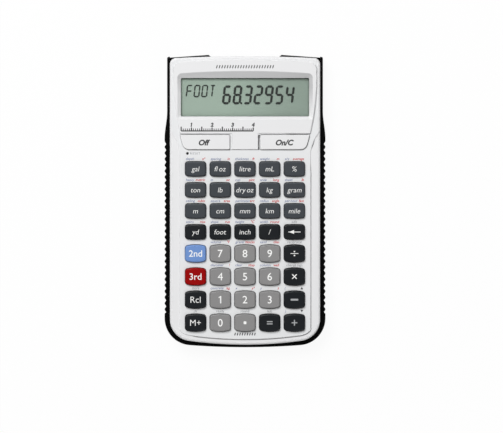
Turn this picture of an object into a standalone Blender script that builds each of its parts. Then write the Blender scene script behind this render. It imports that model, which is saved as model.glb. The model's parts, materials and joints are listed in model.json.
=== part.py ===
"""Construction calculator lying on its back, with its slide cover stowed behind it. Metres, +Z up.

The origin is on the table under the middle of the whole thing. +Y points to the display end.
"""

import math

import bmesh
import bpy
from mathutils import Matrix, Vector

MM = 0.001

# Clearances, shared by every piece.
FIT = 0.3 * MM  # between fixed pieces that seat on each other
SLIDE_FIT = 0.3 * MM  # between the body and its slide cover
KEY_FIT = 0.3 * MM  # between a key and the hole that it rises through
STOP_FIT = 0.1 * MM  # left between a pressed key and the dome that stops it
OVERRUN = 3.0 * MM  # how far a cutter runs past what it cuts

# Keys: five columns, four rows of unit keys above four rows of digit keys.
KEY_WIDTH = 10.0 * MM
UNIT_KEY_HEIGHT = 7.2 * MM
DIGIT_KEY_HEIGHT = 8.5 * MM
COLUMN_GAP = 2.0 * MM
DIGIT_ROW_GAP = 2.7 * MM
MIDDLE_ROW_GAP = 2.6 * MM  # between the digit keys and the unit keys
UNIT_ROW_GAP = 3.0 * MM
UNIT_KEY_HEAD_BOW = 0.15 * MM  # how far the middle of an edge stands out past its ends
UNIT_KEY_FOOT_BOW = 0.4 * MM
DIGIT_KEY_HEAD_BOW = 0.45 * MM
DIGIT_KEY_FOOT_BOW = 0.5 * MM
KEY_FLAT_SHARE = 0.55  # of a key's width, the straight middle of its bowed edges
KEY_CORNER = 1.3 * MM
KEY_EDGE = 0.5 * MM  # rounding round a key's top
KEY_PROUD = 1.7 * MM  # key tops above the keypad
KEY_LIP = 0.4 * MM  # how far a key's flange reaches under the face
KEY_FLANGE = 0.8 * MM
KEY_TRAVEL = 0.8 * MM
POWER_KEY_HEIGHT = 7.1 * MM
POWER_KEY_PROUD = 0.5 * MM  # power key tops above the display panel
POWER_KEY_EDGE = 0.3 * MM
POWER_KEY_CORNER = 3.4 * MM  # the outer lower corner
POWER_KEY_SMALL_CORNER = 0.5 * MM
TONGUE_WIDTH = 12.8 * MM  # the part of the panel that reaches down between the power keys
TONGUE_GAP = 1.0 * MM  # the groove between the tongue and a power key
PANEL_GAP = 0.7 * MM  # the groove between the panel and the power keys below it

# The face, from its lower end to its upper end.
KEYPAD_FOOT = 6.5 * MM
RESET_BAND = 5.85 * MM
TITLE_BAND = 6.9 * MM
BEZEL_FOOT = 1.4 * MM
WINDOW_HEIGHT = 18.7 * MM
BEZEL_HEAD = 3.15 * MM
FACE_HEAD = 7.45 * MM
KEYPAD_MARGIN = 7.5 * MM  # from the outer keys to the body's side
RESET_INSET = 1.9 * MM  # reset pinhole below the power keys
RESET_HOLE_RADIUS = 0.65 * MM
RESET_COLUMN_OFFSET = 3.95 * MM  # pinhole to the left of the first column's middle

# The body's outline.
END_BOW_TOP = 0.9 * MM
END_BOW_FOOT = 1.9 * MM
TOP_CORNER = 3.0 * MM
FOOT_CORNER = 10.5 * MM
BODY_EDGE = 1.1 * MM  # rounding round the body's face and back
WALL = 2.6 * MM
BACK_THICKNESS = 1.4 * MM
FACE_THICKNESS = 1.6 * MM
BODY_THICKNESS = 11.1 * MM  # from the back to the rim of the face
KEYPAD_STEP = 0.5 * MM  # the keypad above the rim
PANEL_STEP = 0.5 * MM  # the display panel above the keypad
STEP_EDGE = 0.25 * MM
KEYPAD_SIDE = 4.5 * MM  # rim beside the keypad
KEYPAD_END = 2.4 * MM  # rim below the keypad
KEYPAD_CORNER = 6.0 * MM
KEYPAD_FLARE = 3.2 * MM  # how far the keypad widens to the shoulders of the display panel
SHOULDER_LENGTH = 10.0 * MM
PANEL_SIDE = 1.6 * MM  # rim beside the display panel
PANEL_END = 1.7 * MM
PANEL_CORNER = 4.0 * MM
PANEL_SWEEP = 117.0 * MM  # radius of the panel's curved sides
BEZEL_SIDE = 1.6 * MM
BEZEL_SIDE_MARGIN = 3.7 * MM  # from the body's side to the bezel
BEZEL_DEPTH = 1.3 * MM
BEZEL_BOW = 1.0 * MM
BEZEL_CORNER = 2.2 * MM
WINDOW_CORNER = 0.6 * MM
LENS_FIT = 0.15 * MM

# The slide cover and the grooves that it runs in.
COVER_PLATE = 1.6 * MM
COVER_SIDE = 1.15 * MM
COVER_END_WALL = 1.1 * MM
COVER_END_BOW = 1.0 * MM
COVER_FLAP = 1.25 * MM  # how far the cover stands past the body's open end
COVER_EDGE = 0.8 * MM  # slope round the cover's back
COVER_CORNER_DROP = 1.15 * MM
GRIP_FLARE = 0.55 * MM
GRIP_FLARE_LENGTH = 13.5 * MM
GRIP_REST = 2.5 * MM  # from the last valley between ribs to the flare
GRIP_HEAD = 43.85 * MM  # from the cover's open end to that valley
GRIP_FOOT = 2.0 * MM  # least length between the last rib and the foot's corner
RIB_PITCH = 2.93 * MM
RIB_HEIGHT = 0.7 * MM
RIB_TIP_SHARE = 0.3  # of the pitch
NOTCH_WIDTH = 35.8 * MM
NOTCH_DEPTH = 6.0 * MM
RAIL_THICKNESS = 1.4 * MM
RAIL_DEPTH = 1.3 * MM
RAIL_HEAD = 3.4 * MM  # rail's end short of the cover's open end

# Inside: the display, the circuit board, the rubber keypad and the battery.
LENS_FLANGE = 0.6 * MM
LENS_FLANGE_LIP = 1.2 * MM
GLASS_THICKNESS = 1.5 * MM
GLASS_LEDGE = 4.1 * MM  # of the glass below the window, where its contacts are
GLASS_MARGIN = 1.0 * MM
HOLDER_WALL = 1.0 * MM
HOLDER_LEDGE = 0.8 * MM
HOLDER_SILL = 2.2 * MM
CONTACT_STRIP_WIDTH = 1.8 * MM
BOARD_THICKNESS = 1.6 * MM
BOARD_LIFT = 1.8 * MM  # board above the inside of the back
BOARD_SIDE = 7.1 * MM  # from the body's side to the board
BOARD_FOOT = 4.9 * MM
BOARD_HEAD = 9.0 * MM  # from the body's upper end to the board's leg beside the tray
BOARD_CORNER = 6.0 * MM
BOARD_HEAD_CORNER = 0.8 * MM
RUBBER_SHEET = 0.8 * MM
DOME_RADIUS = 3.0 * MM
DOME_TAPER = 0.6 * MM
RESET_DOME_RADIUS = 0.9 * MM
RESET_SHANK_RADIUS = 0.35 * MM
RESET_FLANGE_RADIUS = 0.9 * MM
RESET_SUNK = 0.6 * MM  # plunger below the face
RESET_TRAVEL = 0.3 * MM
CHIP_CAP_RADIUS = 6.0 * MM
CHIP_CAP_TOP_RADIUS = 4.2 * MM
CHIP_CAP_HEIGHT = 1.1 * MM
POST_RADIUS = 1.5 * MM
SCREW_INSET = 4.5 * MM  # from the body's side to a screw
SCREW_HEAD_INSET = 5.5 * MM  # from the body's upper end to the upper screws
SCREW_FOOT_INSET = 17.7 * MM
SCREW_HEAD_RADIUS = 1.5 * MM
SCREW_HEAD_HEIGHT = 1.3 * MM
SCREW_SUNK = 0.4 * MM
SCREW_RADIUS = 0.8 * MM
SCREW_SLOT_WIDTH = 0.5 * MM
SCREW_SLOT_DEPTH = 0.6 * MM
SCREW_END_ROOM = 0.8 * MM  # left in the boss past the screw's end
BOSS_WALL = 0.7 * MM
REAR_BOSS_WALL = 0.5 * MM
REAR_BOSS_HEIGHT = 3.5 * MM
CELL_RADIUS = 10.0 * MM
CELL_THICKNESS = 1.6 * MM
CELL_STEP = 1.0 * MM
CELL_STEP_HEIGHT = 0.3 * MM
TRAY_WALL = 1.7 * MM
TRAY_FLOOR = 1.0 * MM
TRAY_SIDE = 7.5 * MM  # from the body's side to the tray
TRAY_FRONT = 3.3 * MM  # thickness of the tray's front
TRAY_FRONT_HEIGHT = 3.5 * MM
TRAY_PULL_WIDTH = 8.0 * MM
TRAY_PULL_DEPTH = 0.8 * MM
TRAY_PULL_HEIGHT = 1.0 * MM
TRAY_GUIDE = 1.2 * MM
CONTACT_WIDTH = 4.0 * MM
CONTACT_THICKNESS = 0.3 * MM
CONTACT_FOOT = 3.0 * MM  # length that lies on the board

# How finely round shapes are cut.
CORNER_STEPS = 2
WIDE_CORNER_STEPS = 6
KEY_EDGE_STEPS = 2
BOW_STEPS = 1
WIDE_BOW_STEPS = 5
ROUND_SIDES = 24
SMALL_ROUND_SIDES = 12
DOME_SIDES = 6
MERGE = 0.002 * MM

# Heights above the table.
back_z = COVER_PLATE + SLIDE_FIT
rim_z = back_z + BODY_THICKNESS
keypad_z = rim_z + KEYPAD_STEP
panel_z = keypad_z + PANEL_STEP
floor_z = back_z + BACK_THICKNESS
ceiling_z = rim_z - FACE_THICKNESS
key_top_z = keypad_z + KEY_PROUD
rail_low_z = (COVER_PLATE + key_top_z + SLIDE_FIT - RAIL_THICKNESS) / 2
rail_high_z = rail_low_z + RAIL_THICKNESS
parting_z = (rail_low_z + rail_high_z) / 2
flange_top_z = ceiling_z - FIT
flange_low_z = flange_top_z - KEY_FLANGE
dome_top_z = flange_low_z - KEY_TRAVEL - STOP_FIT
board_low_z = floor_z + BOARD_LIFT
board_top_z = board_low_z + BOARD_THICKNESS
rubber_low_z = board_top_z + FIT
rubber_top_z = rubber_low_z + RUBBER_SHEET

# Places along the body, worked out from the face's lower end upwards.
body_length = (
    KEYPAD_FOOT
    + 4 * (DIGIT_KEY_HEIGHT + UNIT_KEY_HEIGHT)
    + 3 * (DIGIT_ROW_GAP + UNIT_ROW_GAP)
    + MIDDLE_ROW_GAP
    + RESET_BAND
    + POWER_KEY_HEIGHT
    + PANEL_GAP
    + TITLE_BAND
    + BEZEL_FOOT
    + WINDOW_HEIGHT
    + BEZEL_HEAD
    + FACE_HEAD
)
overall_length = body_length + COVER_FLAP + SLIDE_FIT + COVER_END_WALL
cover_foot_y = -overall_length / 2
body_foot_y = cover_foot_y + COVER_END_WALL + SLIDE_FIT
body_head_y = body_foot_y + body_length
cover_head_y = overall_length / 2
row_heights = [DIGIT_KEY_HEIGHT] * 4 + [UNIT_KEY_HEIGHT] * 4
row_gaps = [DIGIT_ROW_GAP] * 3 + [MIDDLE_ROW_GAP] + [UNIT_ROW_GAP] * 3
keys_foot_y = body_foot_y + KEYPAD_FOOT
row_lows = [keys_foot_y + sum(row_heights[:i]) + sum(row_gaps[:i]) for i in range(len(row_heights))]
keys_head_y = row_lows[-1] + UNIT_KEY_HEIGHT
power_low_y = keys_head_y + RESET_BAND
power_high_y = power_low_y + POWER_KEY_HEIGHT
panel_low_y = power_high_y + PANEL_GAP
window_low_y = panel_low_y + TITLE_BAND + BEZEL_FOOT
window_high_y = window_low_y + WINDOW_HEIGHT

# Places across the body.
column_pitch = KEY_WIDTH + COLUMN_GAP
body_half = 2 * column_pitch + KEY_WIDTH / 2 + KEYPAD_MARGIN
inner_half = body_half - WALL
groove_half = body_half + SLIDE_FIT - RAIL_DEPTH - SLIDE_FIT
grip_half = body_half + SLIDE_FIT + COVER_SIDE + GRIP_FLARE
board_half = body_half - BOARD_SIDE
window_half = body_half - BEZEL_SIDE_MARGIN - BEZEL_SIDE
panel_half = body_half - PANEL_SIDE
tray_high_x = body_half - TRAY_SIDE
tray_low_x = tray_high_x - 2 * (CELL_RADIUS + FIT + TRAY_WALL)
tray_middle_x = (tray_low_x + tray_high_x) / 2
screw_x = body_half - SCREW_INSET
screw_ys = (body_foot_y + SCREW_FOOT_INSET, body_head_y - SCREW_HEAD_INSET)
reset_x = -2 * column_pitch - RESET_COLUMN_OFFSET
reset_y = power_low_y - RESET_INSET
cell_y = body_head_y - END_BOW_TOP - TRAY_FRONT - FIT - CELL_RADIUS
tray_foot_y = cell_y - CELL_RADIUS - FIT - TRAY_WALL
board_shoulder_y = tray_foot_y - 2 * FIT
board_leg_x = tray_low_x - FIT - TRAY_GUIDE - FIT

# Keys by row, from the lowest row up, each from left to right.
KEY_ROWS = (
    ("memory_plus", "0", "point", "equals", "plus"),
    ("recall", "1", "2", "3", "minus"),
    ("third", "4", "5", "6", "multiply"),
    ("second", "7", "8", "9", "divide"),
    ("yard", "foot", "inch", "fraction", "backspace"),
    ("metre", "centimetre", "millimetre", "kilometre", "mile"),
    ("ton", "pound", "dry_ounce", "kilogram", "gram"),
    ("gallon", "fluid_ounce", "litre", "millilitre", "percent"),
)
KEY_FINISHES = {"second": "blue_key", "third": "red_key", "point": "grey_key", "percent": "slate_key"}

# Finishes: colour, roughness and metallic value.
FINISHES = {
    "silver_shell": ((0.80, 0.80, 0.81), 0.42, 0.0),
    "black_cover": ((0.012, 0.012, 0.013), 0.55, 0.0),
    "slate_key": ((0.085, 0.092, 0.105), 0.5, 0.0),
    "black_key": ((0.022, 0.025, 0.029), 0.5, 0.0),
    "grey_key": ((0.29, 0.285, 0.285), 0.5, 0.0),
    "blue_key": ((0.16, 0.36, 0.80), 0.5, 0.0),
    "red_key": ((0.43, 0.010, 0.010), 0.5, 0.0),
    "clear_lens": ((0.85, 0.88, 0.86), 0.1, 0.0),
    "display_glass": ((0.34, 0.42, 0.36), 0.35, 0.0),
    "grey_plastic": ((0.30, 0.30, 0.31), 0.6, 0.0),
    "rubber": ((0.50, 0.50, 0.49), 0.8, 0.0),
    "circuit_green": ((0.03, 0.16, 0.07), 0.4, 0.0),
    "epoxy": ((0.02, 0.02, 0.02), 0.3, 0.0),
    "steel": ((0.62, 0.61, 0.59), 0.3, 1.0),
}


def clear_scene():
    for obj in list(bpy.data.objects):
        bpy.data.objects.remove(obj, do_unlink=True)


def new_collection(name):
    collection = bpy.data.collections.new(name)
    bpy.context.scene.collection.children.link(collection)
    return collection


def finish(name):
    """The material of this name, made on first use."""
    material = bpy.data.materials.get(name)
    if material is None:
        colour, roughness, metallic = FINISHES[name]
        material = bpy.data.materials.new(name)
        material.use_nodes = True
        shader = material.node_tree.nodes["Principled BSDF"]
        shader.inputs["Base Color"].default_value = (*colour, 1)
        shader.inputs["Roughness"].default_value = roughness
        shader.inputs["Metallic"].default_value = metallic
        material.diffuse_color = (*colour, 1)
    return material


def bowed_end(half_width, bow, radius, corner_steps, bow_steps):
    """Right half of a bowed end, from its middle out to the straight side, as pairs of across and inwards."""
    corner_x = half_width - radius
    tilt = 0.0
    for _ in range(4):
        tilt = math.atan2(2 * bow, corner_x + radius * math.sin(tilt))
    join_x = corner_x + radius * math.sin(tilt)
    steps = bow_steps if bow > 0 else 0
    points = [(join_x * i / steps, bow * (i / steps) ** 2) for i in range(steps)]
    for i in range(corner_steps + 1):
        angle = tilt + (math.pi / 2 - tilt) * i / corner_steps
        inwards = bow + radius * (math.cos(tilt) - math.cos(angle))
        points.append((corner_x + radius * math.sin(angle), inwards))
    return points


def bowed_outline(half_width, low, high, low_end, high_end, corner_steps=CORNER_STEPS, bow_steps=BOW_STEPS):
    """Anticlockwise points of a shape that is symmetric across X. An end is a bow and its corners' radius."""
    foot = [(x, low + inwards) for x, inwards in bowed_end(half_width, *low_end, corner_steps, bow_steps)]
    head = [(x, high - inwards) for x, inwards in bowed_end(half_width, *high_end, corner_steps, bow_steps)]
    right = foot + head[::-1]
    return right + [(-x, y) for x, y in right[::-1] if x > MERGE]


def rounded_polygon(corners, steps):
    """Points of a polygon whose corners, given anticlockwise as x, y and radius, are rounded."""
    points = []
    for i, (x, y, radius) in enumerate(corners):
        here = Vector((x, y))
        before = (Vector(corners[i - 1][:2]) - here).normalized()
        after = (Vector(corners[(i + 1) % len(corners)][:2]) - here).normalized()
        half_angle = before.angle(after) / 2
        if radius <= 0 or abs(half_angle - math.pi / 2) < math.radians(1):
            points.append((x, y))
            continue
        centre = here + (before + after).normalized() * radius / math.sin(half_angle)
        start = here + before * radius / math.tan(half_angle) - centre
        end = here + after * radius / math.tan(half_angle) - centre
        turn = start.angle_signed(end)
        for step in range(steps + 1):
            spoke = start.copy()
            spoke.rotate(Matrix.Rotation(-turn * step / steps, 2))
            points.append(tuple(centre + spoke))
    return points


def offset(points, distance):
    """The outline moved outwards by distance, corner by corner."""
    moved = []
    for i, (x, y) in enumerate(points):
        before = Vector(points[i]) - Vector(points[i - 1])
        after = Vector(points[(i + 1) % len(points)]) - Vector(points[i])
        first = Vector((before.y, -before.x)).normalized()
        second = Vector((after.y, -after.x)).normalized()
        mitre = (first + second) / (1 + first.dot(second))
        moved.append((x + mitre.x * distance, y + mitre.y * distance))
    return moved


def mirrored(points):
    return [(-x, y) for x, y in points[::-1]]


def tidy_mesh(mesh):
    """Joins doubled points, drops slivers, makes each flat area one face and turns every face outwards."""
    work = bmesh.new()
    work.from_mesh(mesh)
    bmesh.ops.remove_doubles(work, verts=work.verts, dist=MERGE)
    bmesh.ops.dissolve_degenerate(work, dist=MERGE / 10, edges=work.edges)
    flat = math.radians(0.05)
    bmesh.ops.dissolve_limit(work, angle_limit=flat, verts=[], edges=work.edges)
    bmesh.ops.recalc_face_normals(work, faces=work.faces)
    work.to_mesh(mesh)
    work.free()


def baked(obj):
    """The object's mesh with its modifiers applied."""
    graph = bpy.context.evaluated_depsgraph_get()
    mesh = bpy.data.meshes.new_from_object(obj.evaluated_get(graph))
    tidy_mesh(mesh)
    return mesh


def as_mesh(obj, name):
    """Replaces a curve by a plain mesh object with the curve's place in its mesh."""
    mesh = baked(obj)
    mesh.transform(obj.matrix_world)
    bpy.data.objects.remove(obj, do_unlink=True)
    solid = bpy.data.objects.new(name, mesh)
    bpy.data.collections["cutters"].objects.link(solid)
    bpy.context.view_layer.update()
    return solid


def plate(points, low, high, name="plate"):
    """A flat outline with straight sides, between two heights."""
    curve = bpy.data.curves.new(name, "CURVE")
    curve.dimensions = "2D"
    curve.fill_mode = "BOTH"
    curve.extrude = (high - low) / 2
    spline = curve.splines.new("POLY")
    spline.points.add(len(points) - 1)
    for point, (x, y) in zip(spline.points, points):
        point.co = (x, y, 0, 1)
    spline.use_cyclic_u = True
    obj = bpy.data.objects.new(name, curve)
    bpy.data.collections["cutters"].objects.link(obj)
    obj.location.z = (low + high) / 2
    bpy.context.view_layer.update()
    return as_mesh(obj, name)


def mesh_object(work, name):
    mesh = bpy.data.meshes.new(name)
    work.to_mesh(mesh)
    work.free()
    obj = bpy.data.objects.new(name, mesh)
    bpy.data.collections["cutters"].objects.link(obj)
    bpy.context.view_layer.update()
    return obj


def box(low, high, name="box"):
    """A box between two corners."""
    low, high = Vector(low), Vector(high)
    work = bmesh.new()
    bmesh.ops.create_cube(work, size=1)
    bmesh.ops.scale(work, vec=high - low, verts=work.verts)
    bmesh.ops.translate(work, vec=(low + high) / 2, verts=work.verts)
    return mesh_object(work, name)


def cylinder(x, y, low, high, radius, sides, top_radius=None, name="cylinder"):
    """An upright cylinder, or a cone where its top has another radius."""
    work = bmesh.new()
    top = radius if top_radius is None else top_radius
    bmesh.ops.create_cone(work, cap_ends=True, segments=sides, radius1=radius, radius2=top, depth=high - low)
    bmesh.ops.translate(work, vec=(x, y, (low + high) / 2), verts=work.verts)
    return mesh_object(work, name)


def loft(sections, name="loft"):
    """A solid through outlines with as many points each, given with their heights from the lowest up."""
    work = bmesh.new()
    rings = []
    for points, z in sections:
        verts = [work.verts.new((x, y, z)) for x, y in points]
        rings.append([work.edges.new((verts[i - 1], verts[i])) for i in range(len(verts))])
    for low_ring, high_ring in zip(rings, rings[1:]):
        bmesh.ops.bridge_loops(work, edges=low_ring + high_ring)
    for ring in (rings[0], rings[-1]):
        bmesh.ops.contextual_create(work, geom=ring)
    bmesh.ops.recalc_face_normals(work, faces=work.faces)
    return mesh_object(work, name)


def joined(pieces, name="tools"):
    """Several solids in one object, as one cutter or as one addition."""
    work = bmesh.new()
    for piece in pieces:
        work.from_mesh(piece.data)
        bpy.data.objects.remove(piece, do_unlink=True)
    return mesh_object(work, name)


def boolean(obj, tool, operation):
    modifier = obj.modifiers.new(operation.lower(), "BOOLEAN")
    modifier.operation = operation
    modifier.object = tool
    modifier.solver = "EXACT"
    bpy.context.view_layer.update()
    obj.data = baked(obj)
    obj.modifiers.clear()
    bpy.data.objects.remove(tool, do_unlink=True)
    return obj


def cut(obj, tool):
    return boolean(obj, tool, "DIFFERENCE")


def add(obj, tool):
    return boolean(obj, tool, "UNION")


def round_edge(obj, z, width, segments):
    """Rounds the edge round the flat face at this height."""
    work = bmesh.new()
    work.from_mesh(obj.data)
    weights = work.edges.layers.float.new("bevel_weight_edge")
    for edge in work.edges:
        level = all(abs(vert.co.z - z) < MERGE for vert in edge.verts)
        if level and edge.calc_face_angle(0) > math.radians(30):
            edge[weights] = 1.0
    work.to_mesh(obj.data)
    work.free()
    bevel = obj.modifiers.new("rounded edge", "BEVEL")
    bevel.limit_method = "WEIGHT"
    bevel.width = width
    bevel.segments = segments
    bpy.context.view_layer.update()
    obj.data = baked(obj)
    obj.modifiers.clear()
    return obj


def smooth(obj):
    obj.data.shade_smooth()
    obj.data.set_sharp_from_angle(angle=math.radians(35))


def body_outline(inset=0.0):
    """The calculator seen from above, drawn in by inset."""
    return bowed_outline(
        body_half - inset,
        body_foot_y + inset,
        body_head_y - inset,
        (END_BOW_FOOT, max(FOOT_CORNER - inset, MERGE)),
        (END_BOW_TOP, max(TOP_CORNER - inset, BOARD_HEAD_CORNER)),
        WIDE_CORNER_STEPS,
        WIDE_BOW_STEPS,
    )


def body_head_at(x):
    """Y of the body's upper end at this X."""
    return body_head_y - END_BOW_TOP * (x / (body_half - TOP_CORNER)) ** 2


def panel_side_at(y):
    """X of the display panel's right side at this Y: straight beside the window, swept inwards below it."""
    below = max(window_high_y - y, 0.0)
    return panel_half - (PANEL_SWEEP - math.sqrt(PANEL_SWEEP**2 - below**2))


def keypad_outline():
    """The raised keypad, with a wide rim beside the keys. Above them it flares out to the body's edge."""
    half = body_half - KEYPAD_SIDE
    wide = half + KEYPAD_FLARE
    foot = [
        (x, body_foot_y + KEYPAD_END + inwards)
        for x, inwards in bowed_end(half, END_BOW_FOOT, KEYPAD_CORNER, WIDE_CORNER_STEPS, WIDE_BOW_STEPS)
    ]
    flare_low = keys_head_y + (power_low_y - keys_head_y) / 2
    flare = []
    for i in range(WIDE_BOW_STEPS + 1):
        share = i / WIDE_BOW_STEPS
        flare.append((half + (wide - half) * share**2, flare_low + SHOULDER_LENGTH * share))
    rim = body_half - wide
    head = [
        (x, body_head_y - rim - inwards)
        for x, inwards in bowed_end(wide, END_BOW_TOP, TOP_CORNER, CORNER_STEPS, WIDE_BOW_STEPS)
    ]
    right = foot + flare + head[::-1]
    return right + [(-x, y) for x, y in right[::-1] if x > MERGE]


def panel_outline():
    """The raised display panel: its sides sweep in towards a tongue between the power keys."""
    head = [
        (x, body_head_y - PANEL_END - inwards)
        for x, inwards in bowed_end(panel_half, END_BOW_TOP, PANEL_CORNER, CORNER_STEPS + 2, WIDE_BOW_STEPS)
    ]
    sweep_steps = WIDE_BOW_STEPS + 1
    sweep = []
    for i in range(sweep_steps + 1):
        y = panel_low_y + (window_high_y - panel_low_y) * i / sweep_steps
        sweep.append((panel_side_at(y), y))
    tongue = [(TONGUE_WIDTH / 2, power_low_y), (TONGUE_WIDTH / 2, panel_low_y)]
    right = tongue + sweep + head[::-1]
    return right + [(-x, y) for x, y in right[::-1] if x > MERGE]


def power_key_outline():
    """The key to the right of the tongue. Its outer side carries on the panel's swept side."""
    inner = TONGUE_WIDTH / 2 + TONGUE_GAP
    middle_y = (power_low_y + power_high_y) / 2
    return rounded_polygon(
        (
            (inner, power_low_y, POWER_KEY_SMALL_CORNER),
            (panel_side_at(power_low_y), power_low_y, POWER_KEY_CORNER),
            (panel_side_at(middle_y), middle_y, 0.0),
            (panel_side_at(power_high_y), power_high_y, POWER_KEY_SMALL_CORNER),
            (inner, power_high_y, POWER_KEY_SMALL_CORNER),
        ),
        CORNER_STEPS,
    )


def key_outline(height):
    """A key of this height about its own middle: its ends stand out in the middle and fall away sideways."""
    if height == UNIT_KEY_HEIGHT:
        head_bow, foot_bow = UNIT_KEY_HEAD_BOW, UNIT_KEY_FOOT_BOW
    else:
        head_bow, foot_bow = DIGIT_KEY_HEAD_BOW, DIGIT_KEY_FOOT_BOW
    low, high = -height / 2, height / 2
    side, flat = KEY_WIDTH / 2, KEY_WIDTH / 2 * KEY_FLAT_SHARE
    corners = [(side, low + foot_bow, KEY_CORNER), (side, high - head_bow, KEY_CORNER)]
    right = [(flat, low, 0), *corners, (flat, high, 0)]
    left = [(-x, y, radius) for x, y, radius in right[::-1]]
    return rounded_polygon(right + left, CORNER_STEPS)


def key_body(points, flange_points, top, edge, name):
    """A key cap with the flange that holds it under the face."""
    key = round_edge(plate(points, flange_low_z + KEY_FLANGE / 2, top, name), top, edge, KEY_EDGE_STEPS)
    return add(key, plate(offset(flange_points, KEY_FIT + KEY_LIP), flange_low_z, flange_top_z))


def keys():
    """The middles, heights and names of the keys in the five columns."""
    found = []
    for row, names in enumerate(KEY_ROWS):
        y = row_lows[row] + row_heights[row] / 2
        for column, name in enumerate(names):
            found.append(((column - 2) * column_pitch, y, row_heights[row], name))
    return found


def key_finish(name):
    if name in KEY_FINISHES:
        return KEY_FINISHES[name]
    if name.isdigit():
        return "grey_key"
    slate_rows = KEY_ROWS[5] + KEY_ROWS[6] + KEY_ROWS[7]
    return "slate_key" if name in slate_rows else "black_key"


def make_column_keys():
    """Forty keys on two shared meshes, each with its origin at its middle, on the line that it travels."""
    shapes = {}
    for height, name in ((UNIT_KEY_HEIGHT, "unit_key"), (DIGIT_KEY_HEIGHT, "digit_key")):
        x, y = KEY_WIDTH / 2, height / 2
        flange = [(-x, -y), (x, -y), (x, y), (-x, y)]
        pattern = key_body(key_outline(height), flange, key_top_z, KEY_EDGE, name)
        pattern.data.transform(Matrix.Translation((0, 0, -flange_low_z)))
        smooth(pattern)
        shapes[height] = pattern.data
        bpy.data.objects.remove(pattern, do_unlink=True)
    made = []
    for x, y, height, name in keys():
        key = bpy.data.objects.new(f"key_{name}", shapes[height])
        bpy.data.collections["cutters"].objects.link(key)
        key.location = (x, y, flange_low_z)
        if not key.data.materials:
            key.data.materials.append(None)
        key.material_slots[0].link = "OBJECT"
        key.material_slots[0].material = finish(key_finish(name))
        made.append(key)
    return made


def make_power_keys():
    top = panel_z + POWER_KEY_PROUD
    right = power_key_outline()
    left = mirrored(right)
    on = key_body(right, right, top, POWER_KEY_EDGE, "key_on_clear")
    off = key_body(left, left, top, POWER_KEY_EDGE, "key_off")
    return dressed([on, off], "silver_shell")


def dressed(objects, name):
    for obj in objects:
        smooth(obj)
        obj.data.materials.clear()
        obj.data.materials.append(finish(name))
    return objects


def key_hole_cutters():
    low, high = ceiling_z - OVERRUN, panel_z + OVERRUN
    holes = []
    for x, y, height, _ in keys():
        points = [(x + px, y + py) for px, py in offset(key_outline(height), KEY_FIT)]
        holes.append(plate(points, low, high))
    power = offset(power_key_outline(), KEY_FIT)
    holes.append(plate(power, low, high))
    holes.append(plate(mirrored(power), low, high))
    holes.append(cylinder(reset_x, reset_y, low, high, RESET_HOLE_RADIUS, SMALL_ROUND_SIDES))
    return joined(holes)


def window_outline():
    end = (0.0, WINDOW_CORNER)
    steps = (WIDE_CORNER_STEPS, WIDE_BOW_STEPS)
    return bowed_outline(window_half, window_low_y, window_high_y, end, end, *steps)


def bezel_cutter():
    """The sloped recess round the window, deeper at its upper side, under an arched head."""
    end, steps = (MERGE, WINDOW_CORNER), (CORNER_STEPS, WIDE_BOW_STEPS)
    inner = bowed_outline(window_half, window_low_y, window_high_y, end, end, *steps)
    outer = bowed_outline(
        window_half + BEZEL_SIDE,
        window_low_y - BEZEL_FOOT,
        window_high_y + BEZEL_HEAD,
        (MERGE, BEZEL_FOOT),
        (BEZEL_BOW, BEZEL_CORNER),
        CORNER_STEPS,
        WIDE_BOW_STEPS,
    )
    return loft([(inner, panel_z - BEZEL_DEPTH), (outer, panel_z), (outer, panel_z + OVERRUN)])


def groove_cutters(low, high):
    """The grooves along both sides that the cover's rails run in, open at the body's foot."""
    head = cover_head_y - RAIL_HEAD + SLIDE_FIT
    pieces = []
    for side in (-1, 1):
        xs = sorted((side * groove_half, side * (body_half + OVERRUN)))
        pieces.append(box((xs[0], body_foot_y - OVERRUN, low), (xs[1], head, high)))
    return joined(pieces)


def screw_places():
    return [(side * screw_x, y) for y in screw_ys for side in (-1, 1)]


def make_front_housing():
    """The silver face: rim, raised keypad, raised display panel, side walls and bosses, all one moulding."""
    low = parting_z + FIT / 2
    shell = round_edge(plate(body_outline(), low, rim_z, "front_housing"), rim_z, BODY_EDGE, 2)
    keypad_low = rim_z - FACE_THICKNESS / 2
    shell = add(shell, round_edge(plate(keypad_outline(), keypad_low, keypad_z), keypad_z, STEP_EDGE, 1))
    shell = add(shell, round_edge(plate(panel_outline(), keypad_low, panel_z), panel_z, STEP_EDGE, 1))
    shell = cut(shell, plate(body_outline(WALL), low - OVERRUN, ceiling_z))
    shell = cut(shell, bezel_cutter())
    shell = cut(shell, plate(window_outline(), ceiling_z - OVERRUN, panel_z))
    shell = cut(shell, key_hole_cutters())
    shell = cut(shell, groove_cutters(low - OVERRUN, rail_high_z + SLIDE_FIT))
    boss_low = back_z + REAR_BOSS_HEIGHT + FIT
    hole = SCREW_RADIUS + FIT
    for x, y in screw_places():
        boss = cylinder(x, y, boss_low, ceiling_z + FACE_THICKNESS / 2, hole + BOSS_WALL, SMALL_ROUND_SIDES)
        shell = add(shell, boss)
    holes = []
    for x, y in screw_places():
        holes.append(cylinder(x, y, boss_low - OVERRUN, ceiling_z - FIT, hole, SMALL_ROUND_SIDES))
    return dressed([cut(shell, joined(holes))], "silver_shell")


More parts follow.
